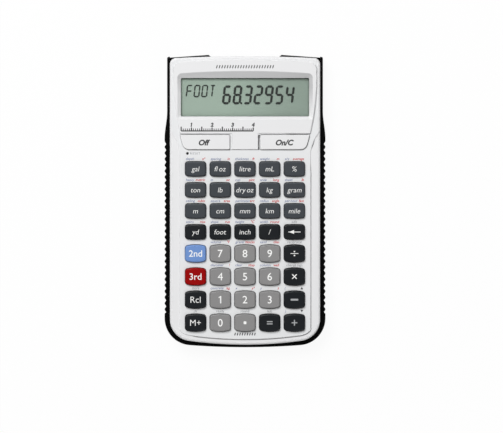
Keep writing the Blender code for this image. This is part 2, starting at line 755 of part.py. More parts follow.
def make_rear_housing():
    """The silver back: a tray with screw bosses, board posts, guides and the battery's doorway."""
    high = parting_z - FIT / 2
    shell = round_edge(plate(body_outline(), back_z, high, "rear_housing"), back_z, BODY_EDGE, 2)
    shell = cut(shell, plate(body_outline(WALL), floor_z, high + OVERRUN))
    shell = cut(shell, groove_cutters(rail_low_z - SLIDE_FIT, high + OVERRUN))
    sunk = floor_z - back_z
    for x, y in screw_places():
        outer = SCREW_HEAD_RADIUS + FIT + REAR_BOSS_WALL
        boss = cylinder(x, y, floor_z - sunk / 2, back_z + REAR_BOSS_HEIGHT, outer, SMALL_ROUND_SIDES)
        shell = add(shell, boss)
    guide_high = back_z + REAR_BOSS_HEIGHT
    guide_head_y = body_head_y - END_BOW_TOP - WALL / 2
    for x, side in ((tray_low_x - FIT, -1), (tray_high_x + FIT, 1)):
        xs = sorted((x, x + side * TRAY_GUIDE))
        shell = add(shell, box((xs[0], tray_foot_y, floor_z - sunk / 2), (xs[1], guide_head_y, guide_high)))
    post_ys = (row_lows[0], row_lows[3], row_lows[7])
    posts = [
        cylinder(side * column_pitch * 1.5, y, floor_z - sunk / 2, board_low_z - FIT, POST_RADIUS, DOME_SIDES)
        for y in post_ys
        for side in (-1, 1)
    ]
    shell = add(shell, joined(posts))
    door = box(
        (tray_low_x - FIT, body_head_y - WALL - END_BOW_TOP - OVERRUN, floor_z),
        (tray_high_x + FIT, body_head_y + OVERRUN, floor_z + FIT + TRAY_FRONT_HEIGHT + FIT),
    )
    shell = cut(shell, door)
    seat_z = back_z + SCREW_SUNK + SCREW_HEAD_HEIGHT + FIT
    holes = []
    for x, y in screw_places():
        holes.append(cylinder(x, y, back_z - OVERRUN, seat_z, SCREW_HEAD_RADIUS + FIT, SMALL_ROUND_SIDES))
    shell = cut(shell, joined(holes))
    holes = []
    for x, y in screw_places():
        holes.append(cylinder(x, y, back_z, ceiling_z, SCREW_RADIUS + FIT, SMALL_ROUND_SIDES))
    return dressed([cut(shell, joined(holes))], "silver_shell")


def cover_outline():
    """The cover from above: bowed foot, ribbed grips, narrow shoulders, and a thumb notch at the open end."""
    foot_half = grip_half + RIB_HEIGHT
    radius = FOOT_CORNER + foot_half - body_half
    foot = [
        (x, cover_foot_y + inwards)
        for x, inwards in bowed_end(foot_half, COVER_END_BOW, radius, WIDE_CORNER_STEPS, WIDE_BOW_STEPS)
    ]
    grip_high_y = cover_head_y - GRIP_HEAD
    rib_count = int((grip_high_y - cover_foot_y - COVER_END_BOW - radius - GRIP_FOOT) / RIB_PITCH)
    first_rib_y = grip_high_y - rib_count * RIB_PITCH
    ribs = [(foot_half, first_rib_y - RIB_HEIGHT)]
    for i in range(rib_count):
        low = first_rib_y + i * RIB_PITCH
        tip_low = low + RIB_PITCH * (1 - RIB_TIP_SHARE) / 2
        ribs.append((grip_half, low))
        ribs.append((grip_half + RIB_HEIGHT, tip_low))
        ribs.append((grip_half + RIB_HEIGHT, tip_low + RIB_PITCH * RIB_TIP_SHARE))
    narrow = grip_half - GRIP_FLARE
    flare = [(grip_half, grip_high_y), (foot_half, grip_high_y + RIB_PITCH * (1 - RIB_TIP_SHARE) / 2)]
    for i in range(WIDE_BOW_STEPS + 1):
        share = i / WIDE_BOW_STEPS
        ease = share * share * (3 - 2 * share)
        y = grip_high_y + GRIP_REST + GRIP_FLARE_LENGTH * share
        flare.append((foot_half - (foot_half - narrow) * ease, y))
    corner_y = cover_head_y - COVER_CORNER_DROP
    head = [(narrow, corner_y - COVER_CORNER_DROP / 2), (narrow - COVER_CORNER_DROP / 2, corner_y)]
    head.append((NOTCH_WIDTH / 2, cover_head_y))
    half = NOTCH_WIDTH / 2
    radius = (half**2 + NOTCH_DEPTH**2) / (2 * NOTCH_DEPTH)
    reach = math.asin(half / radius)
    notch = []
    for i in range(1, WIDE_BOW_STEPS + 1):
        angle = reach * (1 - i / WIDE_BOW_STEPS)
        centre_y = cover_head_y - NOTCH_DEPTH + radius
        notch.append((radius * math.sin(angle), centre_y - radius * math.cos(angle)))
    right = foot + ribs + flare + head + notch
    return right + [(-x, y) for x, y in right[::-1] if x > MERGE]


def cover_room():
    """What the body fills in the cover, with its sliding clearance, run out past the open end."""
    points = offset(body_outline(), SLIDE_FIT)
    return [(x, y + OVERRUN) if y > 0 else (x, y) for x, y in points]


def make_slide_cover():
    """The black cover, stowed behind the body: a plate, ribbed side walls and rails turned in at the top."""
    outline = cover_outline()
    sections = [(offset(outline, -COVER_EDGE), 0.0), (outline, COVER_EDGE), (outline, rail_high_z)]
    cover = loft(sections, "slide_cover")
    cover = cut(cover, plate(cover_room(), COVER_PLATE, rail_high_z + OVERRUN))
    foot = body_foot_y + END_BOW_FOOT + FOOT_CORNER
    head = cover_head_y - RAIL_HEAD
    for side in (-1, 1):
        xs = sorted((side * (groove_half + SLIDE_FIT), side * (body_half + SLIDE_FIT + COVER_SIDE / 2)))
        cover = add(cover, box((xs[0], foot, rail_low_z), (xs[1], head, rail_high_z)))
    return dressed([cover], "black_cover")


def make_display():
    """The clear window, the display glass under it, their holder and the contact strip to the board."""
    flange_low = flange_top_z - LENS_FLANGE
    plug = offset(window_outline(), -LENS_FIT)
    lens = plate(plug, flange_top_z - LENS_FLANGE / 2, panel_z - BEZEL_DEPTH - LENS_FIT, "display_lens")
    lens = add(lens, plate(offset(window_outline(), LENS_FLANGE_LIP), flange_low, flange_top_z))
    glass_half = window_half + GLASS_MARGIN
    glass_low_y, glass_high_y = window_low_y - GLASS_LEDGE, window_high_y + GLASS_MARGIN
    glass_top = flange_low - FIT
    glass_low = glass_top - GLASS_THICKNESS
    glass = box((-glass_half, glass_low_y, glass_low), (glass_half, glass_high_y, glass_top), "display_glass")
    room_half = window_half + LENS_FLANGE_LIP + FIT
    room_high_y = window_high_y + LENS_FLANGE_LIP + FIT
    room_low_y = glass_low_y - FIT
    holder_low = glass_low - FIT - HOLDER_LEDGE
    holder = box(
        (-room_half - HOLDER_WALL, room_low_y - HOLDER_WALL, holder_low),
        (room_half + HOLDER_WALL, room_high_y + HOLDER_WALL, flange_top_z),
        "display_holder",
    )
    room_low = (-room_half, room_low_y, glass_low - FIT)
    room_high = (room_half, room_high_y, flange_top_z + OVERRUN)
    holder = cut(holder, box(room_low, room_high))
    strip_low_y = glass_low_y + FIT
    strip_high_y = strip_low_y + CONTACT_STRIP_WIDTH
    strip_half = board_half - HOLDER_SILL
    slot = box(
        (-strip_half - FIT, strip_low_y - FIT, holder_low - OVERRUN),
        (strip_half + FIT, strip_high_y + FIT, glass_low),
    )
    opening = box(
        (-window_half + HOLDER_SILL, window_low_y + HOLDER_SILL, holder_low - OVERRUN),
        (window_half - HOLDER_SILL, window_high_y - HOLDER_SILL, glass_low),
    )
    holder = cut(holder, joined([slot, opening]))
    strip_low = (-strip_half, strip_low_y, board_top_z + FIT)
    strip_high = (strip_half, strip_high_y, glass_low - FIT)
    strip = box(strip_low, strip_high, "contact_strip")
    dressed([lens], "clear_lens")
    dressed([glass], "display_glass")
    dressed([holder], "grey_plastic")
    dressed([strip], "rubber")
    return [lens, glass, holder, strip]


def board_outline(head_y):
    low_end, high_end = (0.0, BOARD_CORNER), (0.0, BOARD_HEAD_CORNER)
    return bowed_outline(board_half, body_foot_y + BOARD_FOOT, head_y, low_end, high_end)


def make_board():
    """The circuit board with its leg beside the tray, the hard blob over its chip, and the rubber keypad."""
    board_head_y = body_head_y - BOARD_HEAD
    board = plate(board_outline(board_head_y), board_low_z, board_top_z, "circuit_board")
    tray_room = box(
        (board_leg_x, board_shoulder_y, board_low_z - OVERRUN),
        (board_half + OVERRUN, board_head_y + OVERRUN, board_top_z + OVERRUN),
    )
    board = cut(board, tray_room)
    chip_top = board_low_z - FIT
    chip = cylinder(
        -column_pitch,
        power_high_y,
        chip_top - CHIP_CAP_HEIGHT,
        chip_top,
        CHIP_CAP_TOP_RADIUS,
        ROUND_SIDES,
        CHIP_CAP_RADIUS,
        "chip_cap",
    )
    rubber_head_y = power_high_y + FIT
    rubber = plate(board_outline(rubber_head_y), rubber_low_z, rubber_top_z, "rubber_keypad")
    places = [(x, y, DOME_RADIUS) for x, y, _, _ in keys()]
    power_y = (power_low_y + power_high_y) / 2
    power_x = (TONGUE_WIDTH / 2 + TONGUE_GAP + panel_side_at(power_y)) / 2
    places += [(side * power_x, power_y, DOME_RADIUS) for side in (-1, 1)]
    places.append((reset_x, reset_y, RESET_DOME_RADIUS))
    root = rubber_top_z - RUBBER_SHEET / 2
    domes = [
        cylinder(x, y, root, dome_top_z, radius, DOME_SIDES, max(radius - DOME_TAPER, DOME_TAPER))
        for x, y, radius in places
    ]
    rubber = add(rubber, joined(domes))
    dressed([board], "circuit_green")
    dressed([chip], "epoxy")
    dressed([rubber], "rubber")
    return [board, chip, rubber]


def make_reset_plunger():
    """The pin behind the pinhole, pressed with a pen's tip. Its origin is on the line that it travels."""
    low = dome_top_z + RESET_TRAVEL + STOP_FIT
    foot = cylinder(0, 0, low, flange_top_z, RESET_FLANGE_RADIUS, SMALL_ROUND_SIDES, name="reset_plunger")
    shank_root = (low + flange_top_z) / 2
    shank_top = keypad_z - RESET_SUNK
    plunger = add(foot, cylinder(0, 0, shank_root, shank_top, RESET_SHANK_RADIUS, SMALL_ROUND_SIDES))
    plunger.location = (reset_x, reset_y, 0)
    return dressed([plunger], "grey_plastic")


def make_screws():
    """Four screws from the back, on one shared mesh, each with a crossed slot."""
    head_low = back_z + SCREW_SUNK
    head_top = head_low + SCREW_HEAD_HEIGHT
    end = ceiling_z - FIT - SCREW_END_ROOM
    pattern = cylinder(0, 0, head_low, head_top, SCREW_HEAD_RADIUS, SMALL_ROUND_SIDES, name="screw")
    shank = cylinder(0, 0, head_top - SCREW_HEAD_HEIGHT / 2, end, SCREW_RADIUS, SMALL_ROUND_SIDES)
    pattern = add(pattern, shank)
    half_width, half_length = SCREW_SLOT_WIDTH / 2, SCREW_HEAD_RADIUS - SCREW_SLOT_WIDTH
    low, high = head_low - OVERRUN, head_low + SCREW_SLOT_DEPTH
    slot = box((-half_length, -half_width, low), (half_length, half_width, high))
    slot = add(slot, box((-half_width, -half_length, low), (half_width, half_length, high)))
    pattern = cut(pattern, slot)
    dressed([pattern], "steel")
    screws = []
    for number, (x, y) in enumerate(screw_places(), 1):
        screw = bpy.data.objects.new(f"housing_screw_{number}", pattern.data)
        bpy.data.collections["cutters"].objects.link(screw)
        screw.location = (x, y, 0)
        screws.append(screw)
    bpy.data.objects.remove(pattern, do_unlink=True)
    return screws


def make_battery_tray():
    """The tray that slides out of the body's upper end, its front flush with the body."""
    low = floor_z + FIT
    wall_top = low + TRAY_FLOOR + FIT + CELL_THICKNESS
    front_high = low + TRAY_FRONT_HEIGHT
    front_low_y = cell_y + CELL_RADIUS + FIT
    front = [(tray_low_x, front_low_y), (tray_high_x, front_low_y)]
    steps = WIDE_BOW_STEPS
    for i in range(steps + 1):
        x = tray_high_x - (tray_high_x - tray_low_x) * i / steps
        front.append((x, body_head_at(x)))
    tray_high = (tray_high_x, front_low_y + TRAY_WALL / 2, wall_top)
    tray = box((tray_low_x, tray_foot_y, low), tray_high, "battery_tray")
    tray = add(tray, plate(front, low, front_high))
    pocket = cylinder(
        tray_middle_x, cell_y, low + TRAY_FLOOR, wall_top + OVERRUN, CELL_RADIUS + FIT, ROUND_SIDES
    )
    tray = cut(tray, pocket)
    edge_y = body_head_at(tray_high_x)
    pull = box(
        (tray_middle_x - TRAY_PULL_WIDTH / 2, edge_y - TRAY_PULL_DEPTH, front_high - TRAY_PULL_HEIGHT),
        (tray_middle_x + TRAY_PULL_WIDTH / 2, body_head_y + OVERRUN, front_high + OVERRUN),
    )
    tray = cut(tray, pull)
    cell_low = low + TRAY_FLOOR + FIT
    cell = cylinder(
        tray_middle_x,
        cell_y,
        cell_low + CELL_STEP_HEIGHT / 2,
        cell_low + CELL_THICKNESS,
        CELL_RADIUS,
        ROUND_SIDES,
        name="coin_cell",
    )
    step = CELL_RADIUS - CELL_STEP
    step_high = cell_low + CELL_STEP_HEIGHT
    cell = add(cell, cylinder(tray_middle_x, cell_y, cell_low, step_high, step, ROUND_SIDES))
    dressed([tray], "silver_shell")
    dressed([cell], "steel")
    return [tray, cell]


def make_battery_contact():
    """The spring strip that lies on the board's leg and reaches over the battery, its tip bent down to it."""
    low = board_top_z + FIT
    high = low + CONTACT_THICKNESS
    near, far = cell_y - CONTACT_WIDTH / 2, cell_y + CONTACT_WIDTH / 2
    contact = box((board_leg_x - CONTACT_FOOT, near, low), (tray_middle_x, far, high), "battery_contact")
    tip_low = floor_z + FIT + TRAY_FLOOR + FIT + CELL_THICKNESS + FIT
    tip_x = tray_middle_x - CONTACT_THICKNESS
    tip = box((tip_x, near, tip_low), (tray_middle_x, far, high - CONTACT_THICKNESS / 2))
    return dressed([add(contact, tip)], "steel")


def gather(collection, objects, holder_name):
    """Moves the objects into the collection, under an empty of their own."""
    holder = bpy.data.objects.new(holder_name, None)
    collection.objects.link(holder)
    for obj in objects:
        for old in list(obj.users_collection):
            old.objects.unlink(obj)
        collection.objects.link(obj)
        obj.parent = holder
    return holder


def main():
    clear_scene()
    new_collection("cutters")
    collection = new_collection("construction_calculator")
    gather(collection, make_front_housing() + make_rear_housing() + make_screws(), "body_frame")
    gather(collection, make_display() + make_board() + make_battery_contact(), "inner_frame")
    gather(collection, make_column_keys() + make_power_keys() + make_reset_plunger(), "key_frame")
    gather(collection, make_battery_tray(), "battery_slide")
    gather(collection, make_slide_cover(), "cover_slide")


main()
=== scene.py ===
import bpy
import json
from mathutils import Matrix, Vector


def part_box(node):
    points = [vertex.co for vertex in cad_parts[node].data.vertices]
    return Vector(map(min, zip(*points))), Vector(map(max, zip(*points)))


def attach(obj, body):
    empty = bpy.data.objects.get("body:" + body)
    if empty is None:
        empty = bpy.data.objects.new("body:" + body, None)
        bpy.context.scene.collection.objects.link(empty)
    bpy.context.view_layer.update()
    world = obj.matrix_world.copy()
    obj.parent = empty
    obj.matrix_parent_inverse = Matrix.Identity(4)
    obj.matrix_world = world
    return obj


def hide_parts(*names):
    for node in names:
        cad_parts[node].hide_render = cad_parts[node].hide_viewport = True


bl_info = {
    "name": "Construction Calculator",
    "version": (1, 0, 0),
    "blender": (4, 5, 0),
    "location": "3D View > Sidebar > Calculator",
    "description": "Dresses the packed parts of a hand-held construction calculator with its slide cover",
    "category": "Add Mesh",
}

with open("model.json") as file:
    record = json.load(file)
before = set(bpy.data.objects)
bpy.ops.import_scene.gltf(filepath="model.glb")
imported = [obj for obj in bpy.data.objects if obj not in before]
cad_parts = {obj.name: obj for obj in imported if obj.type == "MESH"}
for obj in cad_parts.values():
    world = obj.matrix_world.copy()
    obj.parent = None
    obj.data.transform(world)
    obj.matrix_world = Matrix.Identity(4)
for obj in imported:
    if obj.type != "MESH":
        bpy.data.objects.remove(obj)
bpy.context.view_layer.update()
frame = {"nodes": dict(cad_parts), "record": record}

import json
import math

import bmesh
import bpy
from mathutils import Matrix, Vector

MM = 0.001

# Clearances and cutting sizes, shared by every piece.
FIT = 0.3 * MM
LENS_FIT = 0.06 * MM
OVERRUN = 3.0 * MM
MERGE = 0.001 * MM
HAIR = 0.002 * MM

# The body.
BODY_EDGE = 1.1 * MM
WALL = 2.6 * MM
BACK_THICKNESS = 1.4 * MM
FACE_THICKNESS = 1.6 * MM
END_BOW_TOP = 0.9 * MM
END_BOW_FOOT = 1.9 * MM
TOP_CORNER = 3.0 * MM
INNER_CORNER = 0.8 * MM
FOOT_CORNER = 10.5 * MM
KEYPAD_STEP = 0.5 * MM
PANEL_STEP = 0.5 * MM
STEP_EDGE = 0.3 * MM
KEYPAD_SIDE = 4.62 * MM
KEYPAD_END = 2.65 * MM
KEYPAD_FLARE = 3.2 * MM
SHOULDER_LENGTH = 10.0 * MM
PANEL_SIDE = 1.72 * MM
PANEL_END = 1.7 * MM
PANEL_CORNER = 4.0 * MM
PANEL_SWEEP = 117.0 * MM
TONGUE_WIDTH = 12.8 * MM
TONGUE_GAP = 1.0 * MM
PANEL_GAP = 0.7 * MM
BEZEL_SIDE = 1.6 * MM
BEZEL_FOOT = 1.4 * MM
BEZEL_HEAD = 3.15 * MM
BEZEL_DEPTH = 1.3 * MM
BEZEL_BOW = 1.0 * MM
BEZEL_CORNER = 2.2 * MM
WINDOW_CORNER = 0.6 * MM
HOLE_EDGE = 0.12 * MM
HOLE_GAP = 0.22 * MM
LINE_WIDTH = 0.5 * MM
LINE_DEPTH = 0.9 * MM
FOOT_LINE_DEPTH = 0.6 * MM
SHOULDER_LINE = 5.3 * MM
PANEL_LINE_HEAD = 4.0 * MM
LABEL_DEPTH = 0.2 * MM
LABEL_CORNER = 2.5 * MM
LABEL_REACH = (0.62, 0.55, 0.3)  # shares of the body's half width, its foot and its head
SHARP_ANGLE = 38  # degrees, past which an edge is shaded sharp

# The keys.
FLANGE_REACH = 0.7 * MM
FLANGE_HEIGHT = 0.8 * MM
KEY_CORNER = 1.3 * MM
LOW_KEY = 8.0 * MM  # keys lower than this have the smaller bows
LOW_KEY_BOWS = (0.22 * MM, 0.1 * MM)  # at the foot and at the head
HIGH_KEY_BOWS = (0.5 * MM, 0.45 * MM)
LEGEND_ROOM = 0.04 * MM
POWER_KEY_CORNER = 3.4 * MM
POWER_KEY_SMALL_CORNER = 0.5 * MM
POWER_KEY_EDGE = 0.3 * MM
OFF_KEY_REACH = 0.2 * MM
RESET_HOLE_RADIUS = 0.65 * MM

# The slide cover.
COVER_PLATE = 1.6 * MM
COVER_SIDE = 1.15 * MM
COVER_EDGE = 0.8 * MM
COVER_RIM = 0.2 * MM
COVER_END_BOW = 1.0 * MM
COVER_CORNER_DROP = 1.35 * MM
COVER_HEAD_CORNER = 0.8 * MM
GRIP_FLARE = 0.55 * MM
GRIP_FLARE_LENGTH = 13.5 * MM
GRIP_REST = 2.5 * MM
GRIP_HEAD = 43.85 * MM
GRIP_FOOT = 2.0 * MM
RIB_PITCH = 2.93 * MM
RIB_HEIGHT = 0.7 * MM
NOTCH_WIDTH = 35.8 * MM
NOTCH_DEPTH = 6.0 * MM
RAIL_THICKNESS = 1.4 * MM
RAIL_HEAD = 3.4 * MM
GROOVE_DEPTH = 1.3 * MM
FRAME_LINE_WIDTH = 0.7 * MM
FRAME_LINE_CORNER = 6.0 * MM

# Screws, drawer and battery.
SCREW_HEAD_RADIUS = 1.5 * MM
SCREW_HEAD_HEIGHT = 1.3 * MM
SCREW_RADIUS = 0.8 * MM
SCREW_THREAD = 0.5 * MM
SCREW_SUNK = 0.4 * MM
SCREW_SLOT_WIDTH = 0.5 * MM
SCREW_SLOT_DEPTH = 0.6 * MM
BOSS_WALL = 0.7 * MM
REAR_BOSS_WALL = 0.5 * MM
REAR_BOSS_HEIGHT = 3.5 * MM
POST_RADIUS = 1.5 * MM
TRAY_WALL = 1.7 * MM
TRAY_FLOOR = 1.0 * MM
TRAY_EDGE = 0.15 * MM
TRAY_FRONT_EDGE = 0.2 * MM
TRAY_GUIDE = 1.2 * MM
TRAY_PULL_WIDTH = 8.0 * MM
TRAY_PULL_DEPTH = 0.8 * MM
TRAY_PULL_HEIGHT = 1.0 * MM
CELL_STEP = 1.0 * MM
CELL_STEP_HEIGHT = 0.3 * MM
CELL_EDGE = 0.25 * MM
CELL_MARK = (2.4 * MM, 0.5 * MM, 0.06 * MM)  # length, width and depth of the plus sign's strokes

# The display. A figure has a width, a height and a stroke, and its foot stands above the window's foot.
LENS_FLANGE = 0.6 * MM
LENS_FLANGE_LIP = 1.2 * MM
LENS_EDGE = 0.1 * MM
GLASS_LIFT = 1.0 * MM
GLASS_INSET = 0.25 * MM
GLASS_ROOM = 0.1 * MM
SEGMENT_THICKNESS = 0.03 * MM
SEGMENT_LIFT = 0.12 * MM
FRONT_GLASS = 0.04 * MM
FIGURE_SLANT = 0.12
NUMBER_LEFT = -10.75 * MM
NUMBER_FOOT = 6.5 * MM
NUMBER_PITCH = 5.09 * MM
NUMBER_FIGURE = (3.0 * MM, 8.1 * MM, 1.15 * MM)
POINT_SIZE = 0.95 * MM
POINT_BACK = 1.25 * MM
UNIT_LEFT = -28.6 * MM
UNIT_FOOT = 9.7 * MM
UNIT_PITCH = 3.75 * MM
UNIT_FIGURE = (2.3 * MM, 5.4 * MM, 0.66 * MM)

# Print. Cap height is a share of the built-in font's size. A weight thickens every stroke. A hatch has a
# length, a width and a pitch, and its lean is in degrees.
PRINT_THICKNESS = 0.02 * MM
CAP_SHARE = 0.682
BOLD_WEIGHT = 0.03 * MM
THIN_WEIGHT = -0.02 * MM
BLUE_WEIGHT = 0.01 * MM
RED_WEIGHT = 0.03 * MM
ONE_SHIFT = 0.2 * MM  # the figure 1 looks centred when its stem stands this far right
POWER_LEGEND_HEIGHT = 2.5 * MM
POWER_LEGEND_WEIGHT = 0.15 * MM
POWER_LEGEND_DROP = 0.2 * MM
PRINT_SLANT = 0.2
WORD_HEIGHT = 1.2 * MM
WORD_INSET = 0.3 * MM
WORD_LIFT = 1.35 * MM
MARK_X = 3.6 * MM
MARK_HALF = 0.65 * MM
RULER_LEFT = -31.0 * MM
RULER_LIFT = 1.2 * MM
RULER_TICKS = 35
RULER_LINE = 0.55 * MM
TICK_HEIGHTS = (1.2 * MM, 1.7 * MM, 2.1 * MM)
TICK_WIDTHS = (0.4 * MM, 0.6 * MM)
NUMBER_LIFT = 3.0 * MM
NUMBER_HEIGHT = 1.7 * MM
NUMBER_WEIGHT = 0.14 * MM
RESET_WORD_HEIGHT = 1.0 * MM
RESET_WORD_GAP = 1.4 * MM
HEAD_HATCH_LIFT = 5.4 * MM
FOOT_HATCH_LIFT = 5.2 * MM
HATCH_LEAN = 72
HEAD_HATCH = (1.6 * MM, 0.46 * MM, 1.3 * MM)
FOOT_HATCH = (1.4 * MM, 0.5 * MM, 1.2 * MM)

# The stage, in metres. A lamp has a place and a size, and looks at the origin.
FLOOR_HALF = 4.0
FLOOR_DROP = 0.02 * MM
KEY_LAMP = ((-0.4, 0.75, 1.25), 0.9)
FILL_LAMP = ((0.5, -1.0, 1.2), 1.0)
CAMERA_PLACE = (3.16 * MM, -7.74 * MM, 1371 * MM)
CAMERA_LENS = 200
CAMERA_SENSOR = 36
CAMERA_REACH = 20

# Heights and places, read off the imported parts.
front_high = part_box("front_housing")[1]
rear_low, rear_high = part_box("rear_housing")
cover_low, cover_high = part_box("slide_cover")
lens_low, lens_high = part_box("display_lens")
glass_low, glass_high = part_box("display_glass")
tray_low, tray_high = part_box("battery_tray")
cell_low, cell_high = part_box("coin_cell")
off_low, off_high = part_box("key_off")
pin_low, pin_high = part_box("reset_plunger")

panel_z = front_high.z
keypad_z = panel_z - PANEL_STEP
rim_z = keypad_z - KEYPAD_STEP
ceiling_z = rim_z - FACE_THICKNESS
back_z = rear_low.z
floor_z = back_z + BACK_THICKNESS
parting_low_z = rear_high.z
rail_high_z = cover_high.z
rail_low_z = rail_high_z - RAIL_THICKNESS
boss_low_z = back_z + REAR_BOSS_HEIGHT + FIT

body_half = front_high.x
body_foot_y = rear_low.y
body_head_y = rear_high.y
panel_half = body_half - PANEL_SIDE
window_half = lens_high.x - LENS_FLANGE_LIP
window_low_y = lens_low.y + LENS_FLANGE_LIP
window_high_y = lens_high.y - LENS_FLANGE_LIP
power_low_y = off_low.y + FLANGE_REACH
power_high_y = off_high.y - FLANGE_REACH
panel_low_y = power_high_y + PANEL_GAP
keys_head_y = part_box("key_gallon")[1].y - FLANGE_REACH
groove_half = body_half - GROOVE_DEPTH
grip_half = cover_high.x - RIB_HEIGHT
reset_x = (pin_low.x + pin_high.x) / 2
reset_y = (pin_low.y + pin_high.y) / 2

slot_of_node = {row["node"]: row["material_slot"] for row in frame["record"]["subparts"]}
bodies = frame["record"]["behaviour"]["bodies"]
body_of_node = {node: body for body, nodes in bodies.items() for node in nodes}
power_keys = ("key_off", "key_on_clear")
column_keys = [node for node in body_of_node if node.startswith("key_") and node not in power_keys]

# Legends on the keys, with their cap height in millimetres and their slant.
UNIT_WORDS = {
    "gallon": "gal", "fluid_ounce": "fl oz", "litre": "litre", "millilitre": "mL", "ton": "ton",
    "pound": "lb", "dry_ounce": "dry oz", "kilogram": "kg", "gram": "gram", "metre": "m",
    "centimetre": "cm", "millimetre": "mm", "kilometre": "km", "mile": "mile", "yard": "yd",
    "foot": "foot", "inch": "inch",
}
KEY_LEGENDS = {
    "percent": ("%", 2.5, 0.1),
    "fraction": ("/", 2.5, 0.1),
    "second": ("2nd", 3.05, 0.0),
    "third": ("3rd", 3.05, 0.0),
    "recall": ("Rcl", 3.0, 0.0),
    "memory_plus": ("M+", 2.9, 0.0),
    **{name: (word, 2.35, 0.18) for name, word in UNIT_WORDS.items()},
    **{digit: (digit, 3.55, 0.0) for digit in "0123456789"},
}
THIN_LEGENDS = ("recall", "memory_plus")
POWER_LEGENDS = {"key_off": ("Off", -19.7 * MM), "key_on_clear": ("On/C", 19.3 * MM)}

# Symbols on keys as bars: middle x and y, length, thickness and turn in degrees. Sizes in millimetres.
SYMBOLS = {
    "plus": ((0, 0, 2.8, 0.5, 0), (0, 0, 2.8, 0.5, 90)),
    "minus": ((0, 0, 3.7, 0.9, 0),),
    "equals": ((0, 0.55, 2.8, 0.5, 0), (0, -0.55, 2.8, 0.5, 0)),
    "multiply": ((0, 0, 3.1, 0.45, 45), (0, 0, 3.1, 0.45, -45)),
    "divide": ((0, 0, 3.8, 0.3, 0), (0, 0.95, 0.65, 0.65, 0), (0, -0.95, 0.65, 0.65, 0)),
    "point": ((0, 0, 1.4, 1.4, 0),),
    "backspace": ((0, 0, 6.0, 0.35, 0),),
}
ARROW_TIP = ((-2.6, 0), (-0.2, -0.95), (-0.2, 0.95))
PALE_SYMBOLS = ("minus", "equals", "plus")

# Small print above the keys: a blue word at the left and a red one at the right, or a grey one in the middle.
SMALL_WORDS = {
    "gallon": ("depth", "x²"), "fluid_ounce": ("spacing", "in"), "litre": ("thickness", "ft"),
    "millilitre": ("weight", "m"), "percent": ("x/y", "average"), "ton": ("heavy", "metric"),
    "pound": ("in", "oz"), "dry_ounce": ("cup", "pint"), "kilogram": ("wide", "long"),
    "gram": ("sheet", "lb"),
    "metre": ("ceiling", "cubic"), "centimetre": ("square", "area"), "millimetre": ("perimeter", "arc"),
    "kilometre": ("radius", "angle"), "mile": ("per hour", "fast"), "yard": ("stairs", "rise"),
    "foot": ("slope", "run"), "inch": ("height", "°C"), "fraction": ("width", "round"),
    "7": ("volume", "°F"),
    "8": ("gravel", "blocks"), "9": ("sand", "tiles"), "4": ("diameter", "!"), "5": ("clear", "stop"),
    "6": ("column", "wall"), "1": ("concrete", "kg"), "2": ("x", "y²"), "3": ("y", "z"),
    "minus": ("(", ""), "plus": (")", ""),
}
MIDDLE_WORDS = {
    "backspace": "edit", "divide": "reciprocal", "multiply": "change sign", "recall": "store",
    "memory_plus": "clr", "0": "ready", "point": "round", "equals": "last",
}

# Segments of a figure, each along a line between two points, as shares of its width and height.
SEGMENTS = {
    "a": ((0, 1), (1, 1)),
    "b": ((1, 0.5), (1, 1)),
    "c": ((1, 0), (1, 0.5)),
    "d": ((0, 0), (1, 0)),
    "e": ((0, 0), (0, 0.5)),
    "f": ((0, 0.5), (0, 1)),
    "g": ((0, 0.5), (1, 0.5)),
    "h": ((0.5, 0.5), (0.5, 1)),
    "i": ((0.5, 0), (0.5, 0.5)),
}
FIGURES = {
    "0": "adfbec", "1": "bc", "2": "abged", "3": "abgcd", "4": "fgbc", "5": "afgcd", "6": "afgecd",
    "7": "abc", "8": "agdfbec", "9": "agdfbc", "E": "agdfe", "F": "agfe", "O": "adfbec", "T": "ahi",
}


def linear(code):
    """An sRGB hex colour as linear red, green and blue."""
    values = (int(code[i : i + 2], 16) / 255 for i in (1, 3, 5))
    return tuple(v / 12.92 if v <= 0.04045 else ((v + 0.055) / 1.055) ** 2.4 for v in values)


def colour_setting(name, description, code):
    return bpy.props.FloatVectorProperty(
        name=name, description=description, subtype="COLOR", default=linear(code)
    )


def length_setting(name, description, length):
    return bpy.props.FloatProperty(name=name, description=description, unit="LENGTH", default=length)


class ShellSettings(bpy.types.PropertyGroup):
    colour: colour_setting("Body", "Colour of the moulded body", "#E4E4E5")
    keypad_colour: colour_setting("Keypad field", "Colour of the field round the keys", "#E2E3E4")
    print_colour: colour_setting("Print", "Colour of the dark print on the face", "#2E2E30")
    grain: length_setting("Grain", "Size of the moulded texture's grain", 0.45 * MM)


class KeySettings(bpy.types.PropertyGroup):
    slate: colour_setting("Unit keys", "Colour of the unit keys", "#3E4247")
    black: colour_setting("Function keys", "Colour of the function keys", "#13171B")
    grey: colour_setting("Digit keys", "Colour of the digit keys", "#8A8989")
    blue: colour_setting("Second key", "Colour of the second-function key", "#6E91CB")
    red: colour_setting("Third key", "Colour of the third-function key", "#940000")
    edge: length_setting("Edge", "Rounding round a key's top", 0.55 * MM)
    edge_reach: length_setting("Edge reach", "How far in the rounding starts", 0.7 * MM)


class CoverSettings(bpy.types.PropertyGroup):
    colour: colour_setting("Cover", "Colour of the slide cover", "#020202")
    frame_line: length_setting("Frame line", "Depth of the line moulded in the cover's back", 0.25 * MM)


class DisplaySettings(bpy.types.PropertyGroup):
    number: bpy.props.StringProperty(
        name="Number", description="Figures on the display, with one point", default="68.32954"
    )
    unit: bpy.props.StringProperty(
        name="Unit", description="Word at the left of the display, in E, F, O and T", default="FOOT"
    )
    # The left and right colours carry a painted light falloff: the display is drawn brighter at the left.
    left_colour: colour_setting("Left", "Colour of the display's left side", "#C6DDCC")
    right_colour: colour_setting("Right", "Colour of the display's right side", "#B0C4B6")
    ink: colour_setting("Segments", "Colour of a dark segment", "#17211B")


